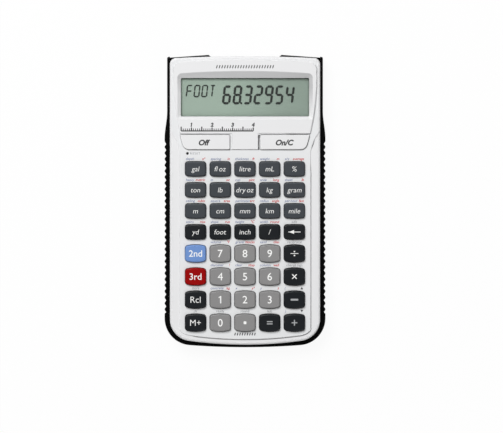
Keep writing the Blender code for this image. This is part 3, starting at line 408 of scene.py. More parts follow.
class StageSettings(bpy.types.PropertyGroup):
    key_power: bpy.props.FloatProperty(
        name="Key lamp", description="Power of the soft lamp at the upper left", unit="POWER", default=18.8
    )
    fill_power: bpy.props.FloatProperty(
        name="Fill lamp", description="Power of the soft lamp at the right", unit="POWER", default=4.0
    )
    ambient: bpy.props.FloatProperty(
        name="Ambient", description="Strength of the even light from all sides", default=0.28
    )
    floor_lift: bpy.props.FloatProperty(
        name="Floor lift", description="Share of plain white in the floor that the camera sees", default=0.93
    )


def shares(steps):
    """Steps + 1 shares, evenly from 0 to 1."""
    return [i / steps for i in range(steps + 1)]


def bowed_end(half_width, bow, radius, corner_steps, bow_steps):
    """Right half of a bowed end, from its middle out to the straight side, as pairs of across and inwards."""
    corner_x = half_width - radius
    tilt = 0.0
    for _ in range(4):
        tilt = math.atan2(2 * bow, corner_x + radius * math.sin(tilt))
    join_x = corner_x + radius * math.sin(tilt)
    points = [(join_x * i / bow_steps, bow * (i / bow_steps) ** 2) for i in range(bow_steps)]
    for i in range(corner_steps + 1):
        angle = tilt + (math.pi / 2 - tilt) * i / corner_steps
        inwards = bow + radius * (math.cos(tilt) - math.cos(angle))
        points.append((corner_x + radius * math.sin(angle), inwards))
    return points


def both_sides(right):
    """A whole outline from its right half, which starts and ends on the middle line or beside it."""
    return right + [(-x, y) for x, y in right[::-1] if x > MERGE]


def bowed_outline(half_width, low, high, low_end, high_end, corner_steps=10, bow_steps=12):
    """Anticlockwise points of a shape symmetric across X. Each end is its bow and its corners' radius."""
    foot = [(x, low + inwards) for x, inwards in bowed_end(half_width, *low_end, corner_steps, bow_steps)]
    head = [(x, high - inwards) for x, inwards in bowed_end(half_width, *high_end, corner_steps, bow_steps)]
    return both_sides(foot + head[::-1])


def rounded_polygon(corners, steps):
    """Points of a polygon whose corners, given anticlockwise as x, y and radius, are rounded."""
    points = []
    for i, (x, y, radius) in enumerate(corners):
        if radius <= 0:
            points.append((x, y))
            continue
        here = Vector((x, y))
        before = (Vector(corners[i - 1][:2]) - here).normalized()
        after = (Vector(corners[(i + 1) % len(corners)][:2]) - here).normalized()
        half_angle = before.angle(after) / 2
        centre = here + (before + after).normalized() * radius / math.sin(half_angle)
        start = here + before * radius / math.tan(half_angle) - centre
        end = here + after * radius / math.tan(half_angle) - centre
        turn = start.angle_signed(end)
        for step in range(steps + 1):
            spoke = start.copy()
            spoke.rotate(Matrix.Rotation(-turn * step / steps, 2))
            points.append(tuple(centre + spoke))
    return points


def offset(points, distance):
    """The outline moved outwards by distance, corner by corner."""
    grown = []
    for i, (x, y) in enumerate(points):
        before = Vector(points[i]) - Vector(points[i - 1])
        after = Vector(points[(i + 1) % len(points)]) - Vector(points[i])
        first = Vector((before.y, -before.x)).normalized()
        second = Vector((after.y, -after.x)).normalized()
        mitre = (first + second) / (1 + first.dot(second))
        grown.append((x + mitre.x * distance, y + mitre.y * distance))
    return grown


def between(first, second, share):
    """The outline a share of the way from one outline to another with as many points."""
    pairs = zip(first, second)
    return [(x + (to_x - x) * share, y + (to_y - y) * share) for (x, y), (to_x, to_y) in pairs]


def moved(points, x, y):
    return [(px + x, py + y) for px, py in points]


def mirrored(points):
    return [(-x, y) for x, y in points[::-1]]


def piece_from(work, name="tool"):
    """An object at the origin from a bmesh."""
    mesh = bpy.data.meshes.new(name)
    work.to_mesh(mesh)
    work.free()
    piece = bpy.data.objects.new(name, mesh)
    bpy.context.scene.collection.objects.link(piece)
    return piece


def loft(sections):
    """A solid through outlines with as many points each, given with their heights from the lowest up."""
    work = bmesh.new()
    rings = []
    for points, z in sections:
        verts = [work.verts.new((x, y, z)) for x, y in points]
        rings.append([work.edges.new((verts[i - 1], verts[i])) for i in range(len(verts))])
    for low_ring, high_ring in zip(rings, rings[1:]):
        bmesh.ops.bridge_loops(work, edges=low_ring + high_ring)
    for ring in (rings[0], rings[-1]):
        bmesh.ops.contextual_create(work, geom=ring)
    bmesh.ops.recalc_face_normals(work, faces=work.faces)
    return piece_from(work)


def quarter(steps):
    """Shares inwards and shares still to rise, along a rounded edge from upright to level."""
    turns = [math.pi / 2 * i / steps for i in range(steps + 1)]
    return [(1 - math.cos(turn), 1 - math.sin(turn)) for turn in turns]


def slab(points, low, high, head=0.0, foot=0.0, reach=None, steps=5):
    """A flat outline between two heights, with its upper and lower edges rounded by head and foot."""
    reach = head if reach is None else reach
    edge = quarter(steps)
    lower, upper = [(points, low)], [(points, high)]
    if foot:
        lower = [(offset(points, -foot * inwards), low + foot * rise) for inwards, rise in edge[::-1]]
    if head:
        upper = [(offset(points, -reach * inwards), high - head * rise) for inwards, rise in edge]
    return loft(lower + upper)


def flared_hole(points, low, high, edge):
    """A cutter for a hole whose upper edge, at this height, is rounded outwards."""
    flare = [(offset(points, edge * inwards), high - edge * rise) for inwards, rise in quarter(3)]
    return loft([(points, low), *flare, (offset(points, edge), high + OVERRUN)])


def block(corner, opposite):
    """A box between two opposite corners."""
    low, high = (Vector([pick(pair) for pair in zip(corner, opposite)]) for pick in (min, max))
    work = bmesh.new()
    bmesh.ops.create_cube(work, size=1)
    bmesh.ops.scale(work, vec=high - low, verts=work.verts)
    bmesh.ops.translate(work, vec=(low + high) / 2, verts=work.verts)
    return piece_from(work)


def cross(x, y, half_length, half_width, low, high):
    """Two boxes that cross at their middles."""
    across = block((x - half_length, y - half_width, low), (x + half_length, y + half_width, high))
    return add(across, block((x - half_width, y - half_length, low), (x + half_width, y + half_length, high)))


def rod(x, y, low, high, radius, sides=32):
    """An upright round rod."""
    work = bmesh.new()
    bmesh.ops.create_cone(
        work, cap_ends=True, segments=sides, radius1=radius, radius2=radius, depth=high - low
    )
    bmesh.ops.translate(work, vec=(x, y, (low + high) / 2), verts=work.verts)
    return piece_from(work)


def turned(profile, x, y, sides):
    """A round piece from pairs of radius and height, from the axis out and back to it."""
    work = bmesh.new()
    verts = [work.verts.new((radius, 0, z)) for radius, z in profile]
    edges = [work.edges.new(pair) for pair in zip(verts, verts[1:])]
    bmesh.ops.spin(
        work, geom=verts + edges, axis=(0, 0, 1), cent=(0, 0, 0), angle=math.tau, steps=sides, use_merge=True
    )
    bmesh.ops.remove_doubles(work, verts=work.verts, dist=MERGE)
    bmesh.ops.recalc_face_normals(work, faces=work.faces)
    bmesh.ops.translate(work, vec=(x, y, 0), verts=work.verts)
    return piece_from(work)


def gathered(pieces):
    """Several solids in one object."""
    work = bmesh.new()
    for piece in pieces:
        work.from_mesh(piece.data)
        bpy.data.objects.remove(piece, do_unlink=True)
    return piece_from(work)


def evaluated_mesh(piece):
    """The piece's mesh with its modifiers applied."""
    graph = bpy.context.evaluated_depsgraph_get()
    return bpy.data.meshes.new_from_object(piece.evaluated_get(graph))


def shaped(piece, tool, operation):
    """Applies a boolean, merges close points and makes each flat area one face."""
    modifier = piece.modifiers.new(operation.lower(), "BOOLEAN")
    modifier.operation = operation
    modifier.object = tool
    modifier.solver = "EXACT"
    mesh = evaluated_mesh(piece)
    work = bmesh.new()
    work.from_mesh(mesh)
    bmesh.ops.remove_doubles(work, verts=work.verts, dist=MERGE)
    bmesh.ops.dissolve_degenerate(work, dist=MERGE / 10, edges=work.edges)
    bmesh.ops.dissolve_limit(work, angle_limit=math.radians(0.05), verts=[], edges=work.edges)
    work.to_mesh(mesh)
    work.free()
    piece.data = mesh
    piece.modifiers.clear()
    bpy.data.objects.remove(tool, do_unlink=True)
    return piece


def cut(piece, *tools):
    for tool in tools:
        shaped(piece, tool, "DIFFERENCE")
    return piece


def add(piece, *tools):
    for tool in tools:
        shaped(piece, tool, "UNION")
    return piece


def finished(piece, name, looks, node=None, body="calculator"):
    """Names, shades and paints a piece and fixes it to its body, in place of the plain node if given."""
    piece.name = name
    piece.data.name = name
    piece.data.materials.clear()
    for look in looks:
        piece.data.materials.append(finish(look))
    piece.data.shade_smooth()
    piece.data.set_sharp_from_angle(angle=math.radians(SHARP_ANGLE))
    weighted = piece.modifiers.new("flat faces stay flat", "WEIGHTED_NORMAL")
    weighted.keep_sharp = True
    weighted.weight = 60
    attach(piece, body_of_node[node] if node else body)
    if node:
        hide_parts(node)
    return piece


def paint_faces(piece, index, chosen):
    """Gives a material index to the faces that the test on middle and normal chooses."""
    for face in piece.data.polygons:
        if chosen(face.center, face.normal):
            face.material_index = index


def add_node(tree, kind, inputs=None, **settings):
    """A shader node with its settings. An input is a value, or an output socket to link to it."""
    made = tree.nodes.new(kind)
    for name, value in settings.items():
        setattr(made, name, value)
    for name, value in (inputs or {}).items():
        if isinstance(value, bpy.types.NodeSocket):
            tree.links.new(value, made.inputs[name])
        else:
            made.inputs[name].default_value = value
    return made


def bare_material(name, constants=None):
    """A node material, its tree and its surface shader with these constant inputs."""
    material = bpy.data.materials.new(name)
    material.use_nodes = True
    shader = material.node_tree.nodes["Principled BSDF"]
    for socket, value in (constants or {}).items():
        shader.inputs[socket].default_value = value
    return material, material.node_tree, shader


def opaque(code):
    return (*linear(code), 1)


def shaded(colour, share):
    return (*(min(1.0, value * share) for value in colour), 1)


def object_place(tree):
    return add_node(tree, "ShaderNodeTexCoord").outputs["Object"]


def noise(tree, size, detail, place=None):
    """A share that changes at random over the surface, in patches of about this size."""
    inputs = {"Vector": object_place(tree) if place is None else place, "Scale": 1 / size, "Detail": detail}
    return add_node(tree, "ShaderNodeTexNoise", inputs).outputs["Fac"]


def mixed_colour(tree, factor, first, second, **settings):
    """A colour between two colours or sockets."""
    mix = add_node(tree, "ShaderNodeMix", {0: factor, 6: first, 7: second}, data_type="RGBA", **settings)
    return mix.outputs[2]


def gloss(tree, shader, share, low, high):
    """Lets the roughness follow a share between two values."""
    spread = add_node(tree, "ShaderNodeMapRange", {"Value": share, "To Min": low, "To Max": high})
    tree.links.new(spread.outputs["Result"], shader.inputs["Roughness"])


def relief(tree, shader, share, strength, height):
    """Bumps as high as this where the share is highest."""
    bump = add_node(tree, "ShaderNodeBump", {"Height": share, "Strength": strength, "Distance": height})
    tree.links.new(bump.outputs["Normal"], shader.inputs["Normal"])


def moulded(
    name, colour, roughness, grain, height, mottle=0.03, gloss_change=0.05, ior=1.53, worn=None, shine=0.5
):
    """Moulded plastic: faint mottling, a gloss that wanders a little, and the mould's own texture.

    Where a wear-and-sheen colour is given, the attribute of that name brings it up: handling wear, and a
    painted highlight on the cover's rib tips.
    """
    material, tree, shader = bare_material(name, {"IOR": ior, "Specular IOR Level": shine})
    cloud = noise(tree, 9 * MM, 4.0)
    base = mixed_colour(tree, cloud, shaded(colour, 1 - mottle), shaded(colour, 1 + mottle))
    if worn:
        rub = add_node(tree, "ShaderNodeAttribute", attribute_name="worn").outputs["Fac"]
        scuff = noise(tree, 0.8 * MM, 6.0)
        amount = add_node(tree, "ShaderNodeMath", {0: rub, 1: scuff}, operation="MULTIPLY")
        base = mixed_colour(tree, amount.outputs[0], base, opaque(worn))
    tree.links.new(base, shader.inputs["Base Color"])
    gloss(tree, shader, cloud, roughness + gloss_change, roughness - gloss_change)
    relief(tree, shader, noise(tree, grain, 2.0), 0.5, height)
    return material


# What is moulded, printed or cast: colour, roughness, grain and its depth in millimetres, and what else
# differs. A name with a point is a setting.
MOULDED = {
    # ABS moulded in a spark-eroded tool: a dull, finely grained silver white. The real grain is about 0.1 mm,
    # too fine to show, so it is drawn coarser.
    "silver_abs": ("shell.colour", 0.42, "shell.grain", 0.03, {"mottle": 0.012}),
    # The same ABS, printed round the keys with a satin lacquer that is a shade darker.
    "keypad_lacquer": ("shell.keypad_colour", 0.5, "shell.grain", 0.02, {"mottle": 0.01}),
    # Black ABS with a coarser moulded grain. The tips of the grip ribs are greyed, partly as handling wear
    # and partly as a painted highlight that lets the ribs read.
    "black_cover_abs": ("cover.colour", 0.3, 0.55, 0.02, {"mottle": 0.1, "worn": "#0A0A0B", "shine": 0.06}),
    # The same on the cover's outer walls, where the tool is polished so that the ribs come free; their rib
    # tips are greyed more, partly as wear and partly as a painted highlight.
    "polished_cover_abs": ("cover.colour", 0.36, 0.55, 0.02, {"worn": "#161617", "shine": 0.3}),
    # ABS keys with a satin, slightly eggshell surface: a soft sheen along the rounded edge.
    **{
        f"{name}_key_abs": (f"keys.{name}", 0.33, 0.4, 0.008, {"gloss_change": 0.06, "shine": shine})
        for name, shine in (("slate", 0.22), ("black", 0.22), ("grey", 0.22), ("blue", 0.22), ("red", 0.1))
    },
    # Epoxy ink, pad-printed: flat, slightly raised and a little duller than the plastic.
    "white_ink": ("#F4F4F2", 0.55, 0.3, 0.004, {"mottle": 0.01}),
    "pale_ink": ("#A4A6A8", 0.55, 0.3, 0.004, {"mottle": 0.01}),
    "dark_ink": ("shell.print_colour", 0.5, 0.3, 0.004, {}),
    "grey_ink": ("#7C7F84", 0.5, 0.3, 0.004, {}),
    "blue_ink": ("#63709A", 0.5, 0.3, 0.004, {}),
    "red_ink": ("#C4282A", 0.5, 0.3, 0.004, {}),
    # Liquid crystal between crossed polarisers: almost black, faintly green.
    "dark_segment": ("display.ink", 0.5, 0.3, 0.001, {"mottle": 0.05, "gloss_change": 0.02}),
    # Silicone rubber: dull and even, with dust in its grain.
    "silicone_rubber": ("#B9B8B5", 0.75, 0.5, 0.01, {"ior": 1.43}),
    # Potting epoxy: black, glossy and slightly rippled.
    "black_epoxy": ("#161617", 0.25, 1.5, 0.03, {"gloss_change": 0.08}),
    # Polystyrene for the frame that nobody sees: plain mid grey.
    "grey_polystyrene": ("#8E8F91", 0.55, 0.5, 0.01, {}),
    # Acetal for the pin in the pinhole: near black and waxy.
    "black_acetal": ("#0A0A0B", 0.4, 0.3, 0.004, {"ior": 1.48}),
}


def value_of(value):
    """A hex colour as linear values, a setting such as shell.grain, or a length in millimetres."""
    if not isinstance(value, str):
        return value * MM
    if value.startswith("#"):
        return linear(value)
    group, field = value.split(".")
    return getattr(getattr(bpy.context.scene, f"calculator_{group}"), field)


# The body's ABS in the recess round the display, with painted light and shade: a little lighter at its foot,
# and greying towards its upper side and slightly to the right, where less lamp light falls on the slope.
def recess_lacquer():
    material, tree, shader = bare_material("recess_lacquer")
    colour = value_of("shell.colour")
    axes = add_node(tree, "ShaderNodeSeparateXYZ", {"Vector": object_place(tree)}).outputs
    lean = {0: axes["X"], 1: 0.15, 2: axes["Y"]}
    slanted = add_node(tree, "ShaderNodeMath", lean, operation="MULTIPLY_ADD").outputs[0]
    reach = {"Value": slanted, "From Min": window_low_y + 2 * BEZEL_HEAD, "From Max": window_high_y}
    share = add_node(tree, "ShaderNodeMapRange", reach).outputs["Result"]
    # Painted shade: 1.06 of the body colour at the recess's foot, falling to 0.72 at its head.
    base = mixed_colour(tree, share, shaded(colour, 1.06), shaded(colour, 0.72))
    tree.links.new(base, shader.inputs["Base Color"])
    gloss(tree, shader, noise(tree, 9 * MM, 4.0), 0.5, 0.42)
    return material


# Cast acrylic window: clear and glossy. Its see-through share keeps the display lit behind it.
def clear_acrylic():
    constants = {"Base Color": opaque("#3A403C"), "IOR": 1.49, "Alpha": 0.06}
    material, tree, shader = bare_material("clear_acrylic", constants)
    gloss(tree, shader, noise(tree, 14 * MM, 3.0), 0.03, 0.09)
    return material


# Soda-lime glass under a matte polariser: what carries the segments in front of the reflector.
def polariser():
    constants = {"Base Color": opaque("#3A403C"), "IOR": 1.52, "Alpha": 0.08}
    material, tree, shader = bare_material("polariser", constants)
    gloss(tree, shader, noise(tree, 6 * MM, 3.0), 0.3, 0.4)
    return material


# Aluminised reflector foil seen through the polariser: a flat grey green, with a painted light falloff across
# it, brighter at the left and darker at the right.
def display_reflector():
    material, tree, shader = bare_material("display_reflector", {"Roughness": 0.7})
    across = add_node(tree, "ShaderNodeSeparateXYZ", {"Vector": object_place(tree)}).outputs["X"]
    # Painted light: the colour goes from the lit left to the dimmer right.
    reach = {"Value": across, "From Min": -window_half * 0.4, "From Max": window_half * 0.9}
    share = add_node(tree, "ShaderNodeMapRange", reach, interpolation_type="SMOOTHSTEP").outputs["Result"]
    left, right = (shaded(value_of(f"display.{side}_colour"), 1) for side in ("left", "right"))
    base = mixed_colour(tree, share, left, right)
    base = mixed_colour(tree, 0.04, base, noise(tree, 0.5 * MM, 2.0), blend_type="OVERLAY")
    tree.links.new(base, shader.inputs["Base Color"])
    return material


# Stamped stainless steel: fine brushing that runs across the can.
def stamped_steel():
    constants = {"Base Color": opaque("#C9C8C4"), "Metallic": 1.0}
    material, tree, shader = bare_material("stamped_steel", constants)
    run = add_node(tree, "ShaderNodeMapping", {"Vector": object_place(tree), "Scale": (1.0, 14.0, 1.0)})
    lines = noise(tree, 3 * MM, 6.0, run.outputs["Vector"])
    gloss(tree, shader, lines, 0.2, 0.38)
    relief(tree, shader, lines, 0.3, 0.01 * MM)
    return material


# Zinc-plated screw steel: bright, with a faint blue cast and small scuffs.
def plated_steel():
    constants = {"Base Color": opaque("#BFC3C6"), "Metallic": 1.0}
    material, tree, shader = bare_material("plated_steel", constants)
    gloss(tree, shader, noise(tree, 0.6 * MM, 5.0), 0.18, 0.42)
    return material


# Glass-fibre board under green solder mask: copper tracks show through as lighter lines.
def solder_mask():
    material, tree, shader = bare_material("solder_mask", {"Roughness": 0.35})
    inputs = {"Vector": object_place(tree), "Scale": 1 / (5 * MM), "Mortar Size": 0.05}
    colours = {"Color1": opaque("#14502B"), "Color2": opaque("#18592F"), "Mortar": opaque("#3C8A4E")}
    tracks = add_node(tree, "ShaderNodeTexBrick", inputs | colours)
    tree.links.new(tracks.outputs["Color"], shader.inputs["Base Color"])
    return material


special_makers = (
    recess_lacquer, clear_acrylic, polariser, display_reflector, stamped_steel, plated_steel, solder_mask
)
SPECIAL = {maker.__name__: maker for maker in special_makers}
made_materials = {}


def finish(name):
    """The named finish, made on first use."""
    if name not in made_materials:
        if name in SPECIAL:
            made_materials[name] = SPECIAL[name]()
        else:
            colour, roughness, grain, height, rest = MOULDED[name]
            texture = value_of(grain), value_of(height)
            made_materials[name] = moulded(name, value_of(colour), roughness, *texture, **rest)
    return made_materials[name]


def body_outline(inset=0.0):
    """The calculator seen from above, drawn in by inset."""
    foot = (END_BOW_FOOT, max(FOOT_CORNER - inset, INNER_CORNER))
    head = (END_BOW_TOP, max(TOP_CORNER - inset, INNER_CORNER))
    return bowed_outline(body_half - inset, body_foot_y + inset, body_head_y - inset, foot, head, 16, 20)


def body_head_at(x):
    """Y of the body's upper end at this X."""
    return body_head_y - END_BOW_TOP * (x / (body_half - TOP_CORNER)) ** 2


def panel_side_at(y):
    """X of the display panel's right side at this Y: straight beside the window, swept inwards below it."""
    below = max(window_high_y - y, 0.0)
    return panel_half - (PANEL_SWEEP - math.sqrt(PANEL_SWEEP**2 - below**2))


def keypad_outline():
    """The raised keypad: it leaves a wide rim beside the keys, and flares out past the body above them."""
    half = body_half - KEYPAD_SIDE
    wide = body_half + OVERRUN
    end = bowed_end(body_half - KEYPAD_END, END_BOW_FOOT, FOOT_CORNER - KEYPAD_END, 24, 20)
    foot = [(x, body_foot_y + KEYPAD_END + inwards) for x, inwards in end if x < half - HAIR]
    (x, y), (next_x, next_inwards) = foot[-1], end[len(foot)]
    next_y = body_foot_y + KEYPAD_END + next_inwards
    foot.append((half, y + (next_y - y) * (half - x) / (next_x - x)))
    flare_low = (keys_head_y + power_low_y) / 2
    flare = []
    for i in range(25):
        share = i / 24 * (OVERRUN + KEYPAD_SIDE) / KEYPAD_FLARE
        x = half + KEYPAD_FLARE * (share**2 if share < 1 else 2 * share - 1)
        flare.append((min(x, wide), flare_low + SHOULDER_LENGTH * share))
    flare = [point for point in flare if point[0] < wide] + [(wide, flare[-1][1])]
    return both_sides(foot + flare + [(wide, body_head_y + OVERRUN)])


def panel_outline():
    """The raised display panel: its sides sweep in towards a tongue between the power keys."""
    end = bowed_end(panel_half, END_BOW_TOP, PANEL_CORNER, 12, 20)
    head = [(x, body_head_y - PANEL_END - inwards) for x, inwards in end]
    ys = [panel_low_y + (window_high_y - panel_low_y) * i / 24 for i in range(25)]
    sweep = [(panel_side_at(y), y) for y in ys]
    tongue = [(TONGUE_WIDTH / 2, power_low_y), (TONGUE_WIDTH / 2, panel_low_y)]
    return both_sides(tongue + sweep + head[::-1])


def power_key_outline(reach=0.0):
    """The key right of the tongue. Its outer side, moved by reach, carries on the panel's swept side."""
    inner = TONGUE_WIDTH / 2 + TONGUE_GAP
    height = power_high_y - power_low_y
    sides = [(inner, power_low_y, POWER_KEY_SMALL_CORNER)]
    sides.append((panel_side_at(power_low_y) + reach, power_low_y, POWER_KEY_CORNER))
    for share in (0.62, 0.72, 0.86):
        y = power_low_y + height * share
        sides.append((panel_side_at(y) + reach, y, 0.0))
    sides.append((panel_side_at(power_high_y) + reach, power_high_y, POWER_KEY_SMALL_CORNER))
    sides.append((inner, power_high_y, POWER_KEY_SMALL_CORNER))
    return rounded_polygon(sides, 6)


def key_cap(node):
    """A key cap's middle x and y, half width and half height, without the flange that holds it."""
    low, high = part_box(node)
    middle = (low + high) / 2
    return middle.x, middle.y, (high.x - low.x) / 2 - FLANGE_REACH, (high.y - low.y) / 2 - FLANGE_REACH


def key_outline(node):
    """A key cap seen from above: its ends stand out in the middle and fall away to the sides."""
    x, y, half_width, half_height = key_cap(node)
    foot, head = LOW_KEY_BOWS if half_height < LOW_KEY / 2 else HIGH_KEY_BOWS
    ends = (foot, KEY_CORNER), (head, KEY_CORNER)
    return moved(bowed_outline(half_width, -half_height, half_height, *ends, 7, 8), x, y)


def subdivided(points, pitch):
    """The outline with further points along its long edges, at most a pitch apart."""
    fine = []
    for (x, y), (to_x, to_y) in zip(points, points[1:] + points[:1]):
        count = max(1, math.ceil(math.hypot(to_x - x, to_y - y) / pitch))
        fine += [(x + (to_x - x) * i / count, y + (to_y - y) * i / count) for i in range(count)]
    return fine


def shadow_line(outline, level, from_x, to_x, low, high):
    """A cutter for the fine groove at the foot of a raised edge. It runs out at both its ends."""
    outline = subdivided(outline, 2 * LINE_WIDTH)
    outline = outline[len(outline) // 2 :] + outline[: len(outline) // 2]
    outer = offset(outline, LINE_WIDTH)
    inner = offset(outline, -HAIR)
    kept = [i for i, (x, y) in enumerate(outline) if from_x < x < to_x and low < y < high]
    count = len(kept) - 1
    taper = min(6, count / 3)
    far = []
    for place, i in enumerate(kept):
        full = min(1.0, place / taper, (count - place) / taper)
        far += between([inner[i]], [outer[i]], 0.05 + 0.95 * full)
    near = [inner[i] for i in kept]
    return slab(far + near[::-1], level - LINE_DEPTH, level + OVERRUN)


def key_holes():
    """Cutters for every key's hole and the pinhole, with softened upper edges."""
    power = offset(power_key_outline(), FIT)
    turns = (math.tau * i / 32 for i in range(32))
    pinhole = [
        (reset_x + RESET_HOLE_RADIUS * math.cos(turn), reset_y + RESET_HOLE_RADIUS * math.sin(turn))
        for turn in turns
    ]
    outlines = [offset(key_outline(node), HOLE_GAP) for node in column_keys]
    outlines += [power, mirrored(power), pinhole]
    return gathered([flared_hole(points, ceiling_z - OVERRUN, keypad_z, HOLE_EDGE) for points in outlines])


def window_outline():
    end = (HAIR, WINDOW_CORNER)
    return bowed_outline(window_half, window_low_y, window_high_y, end, end, 8, 20)


def bezel_recess():
    """The sloped recess round the window, under an arched head."""
    inner = window_outline()
    low, high = window_low_y - BEZEL_FOOT, window_high_y + BEZEL_HEAD
    ends = (HAIR, BEZEL_FOOT), (BEZEL_BOW, BEZEL_CORNER)
    outer = bowed_outline(window_half + BEZEL_SIDE, low, high, *ends, 8, 20)
    slope = ((0.0, 1.0), (0.9, 0.1), (0.96, 0.055), (1.02, 0.018), (1.07, 0.0))
    sections = [(between(inner, outer, share), panel_z - BEZEL_DEPTH * depth) for share, depth in slope]
    return loft([*sections, (between(inner, outer, 1.07), panel_z + OVERRUN)])


def groove_tools(low, high):
    """Cutters for the grooves along both sides that the cover's rails run in, open at the body's foot."""
    foot, head = body_foot_y - OVERRUN, cover_high.y - RAIL_HEAD + FIT
    xs = [(side * groove_half, side * (body_half + OVERRUN)) for side in (-1, 1)]
    return gathered([block((x, foot, low), (to_x, head, high)) for x, to_x in xs])


def screw_places():
    boxes = [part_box(f"housing_screw_{number}") for number in range(1, 5)]
    return [((low.x + high.x) / 2, (low.y + high.y) / 2) for low, high in boxes]


def screw_rods(low, high, radius):
    """A rod of this radius on each screw's axis."""
    return [rod(x, y, low, high, radius) for x, y in screw_places()]


def cover_outline(inset, rib_height=RIB_HEIGHT):
    """The cover seen from above: bowed foot, ribbed grips, narrower shoulders, and a thumb notch."""
    foot_half = grip_half + RIB_HEIGHT - inset
    radius = FOOT_CORNER + grip_half + RIB_HEIGHT - body_half
    end = bowed_end(foot_half, COVER_END_BOW, radius - inset, 16, 20)
    points = [(x, cover_low.y + inset + inwards) for x, inwards in end]
    grip_high_y = cover_high.y - GRIP_HEAD
    rib_count = int((grip_high_y - cover_low.y - COVER_END_BOW - radius - GRIP_FOOT) / RIB_PITCH)
    first_rib_y = grip_high_y - rib_count * RIB_PITCH
    half = grip_half - inset
    steps = 12
    points.append((foot_half, first_rib_y - RIB_HEIGHT))
    for i in range(rib_count * steps + steps // 2 + 1):
        height = ((1 - math.cos(math.tau * i / steps)) / 2) ** 0.85
        points.append((half + rib_height * height, first_rib_y + RIB_PITCH * i / steps))
    wide, narrow = half + rib_height, half - GRIP_FLARE
    for share in shares(14):
        ease = share * share * (3 - 2 * share)
        points.append((wide + (narrow - wide) * ease, grip_high_y + GRIP_REST + GRIP_FLARE_LENGTH * share))
    corner_y = cover_high.y - COVER_CORNER_DROP - inset
    for inwards, rise in quarter(6):
        points.append((narrow - COVER_HEAD_CORNER * inwards, corner_y - COVER_HEAD_CORNER * rise))
    radius = ((NOTCH_WIDTH / 2) ** 2 + NOTCH_DEPTH**2) / (2 * NOTCH_DEPTH)
    centre_y = cover_high.y - NOTCH_DEPTH + radius
    wide_radius = radius + inset
    reach = math.acos((centre_y - (cover_high.y - inset)) / wide_radius)
    points.append((wide_radius * math.sin(reach), cover_high.y - inset))
    for i in range(1, 25):
        angle = reach * (1 - i / 24)
        points.append((wide_radius * math.sin(angle), centre_y - wide_radius * math.cos(angle)))
    return both_sides(points)


class CALCULATOR_OT_front_housing(bpy.types.Operator):
    """Silver face with side walls: rim, raised keypad, raised display panel, sloped recess and key holes"""

    bl_idname = "calculator.front_housing"
    bl_label = "Front housing"

    def execute(self, context):
        low = parting_low_z + FIT
        root = rim_z - FACE_THICKNESS / 2
        shell = slab(body_outline(), low, rim_z, head=BODY_EDGE, steps=7)
        plateau = slab(keypad_outline(), root, keypad_z, head=STEP_EDGE, steps=4)
        within = slab(body_outline(HAIR), root - BODY_EDGE, keypad_z, head=BODY_EDGE, steps=7)
        shell = add(shell, shaped(plateau, within, "INTERSECT"))
        shell = add(shell, slab(panel_outline(), root, panel_z, head=STEP_EDGE, steps=4))
        keypad_line, panel_line = (keypad_outline(), rim_z), (panel_outline(), keypad_z)
        lines = (
            (*keypad_line, -body_half * 0.75, body_half, body_foot_y, keys_head_y + LINE_WIDTH),
            (*keypad_line, 0, body_half, power_low_y, power_low_y + SHOULDER_LINE),
            (*panel_line, body_half / 2, body_half, power_low_y, body_head_y - PANEL_LINE_HEAD),
        )
        for line in lines:
            shell = cut(shell, shadow_line(*line))
        tongue_half = TONGUE_WIDTH / 2
        gap_half, gap_high = tongue_half + TONGUE_GAP, keypad_z + OVERRUN
        beside = (tongue_half + 10 * HAIR, power_low_y, ceiling_z - OVERRUN)
        under = (-gap_half, power_low_y - FIT, keypad_z - FOOT_LINE_DEPTH)
        shell = cut(
            shell,
            slab(body_outline(WALL), low - OVERRUN, ceiling_z),
            bezel_recess(),
            slab(window_outline(), ceiling_z - OVERRUN, panel_z),
            key_holes(),
            block(beside, (gap_half, power_high_y, gap_high)),
            block(under, (gap_half, power_low_y - 10 * HAIR, gap_high)),
            groove_tools(low - OVERRUN, rail_high_z + FIT),
        )
        hole = SCREW_RADIUS + FIT
        shell = add(shell, *screw_rods(boss_low_z, ceiling_z + FACE_THICKNESS / 2, hole + BOSS_WALL))
        shell = cut(shell, gathered(screw_rods(boss_low_z - OVERRUN, ceiling_z - FIT, hole)))

        def keypad_top(middle, normal):
            return normal.z > 0.99 and abs(middle.z - keypad_z) < HAIR

        # The sloped recess's faces, which get the recess's painted light and shade.
        def recess(middle, normal):
            slack = 1.05
            across = abs(middle.x) < window_half + BEZEL_SIDE * slack
            along = window_low_y - BEZEL_FOOT * slack < middle.y < window_high_y + BEZEL_HEAD * slack
            return across and along and 0.3 < normal.z < 0.99 and middle.z > panel_z - BEZEL_DEPTH - HAIR

        looks = ("silver_abs", "keypad_lacquer", "recess_lacquer")
        finished(shell, "front_shell", looks, "front_housing")
        paint_faces(shell, 1, keypad_top)
        paint_faces(shell, 2, recess)
        return {"FINISHED"}


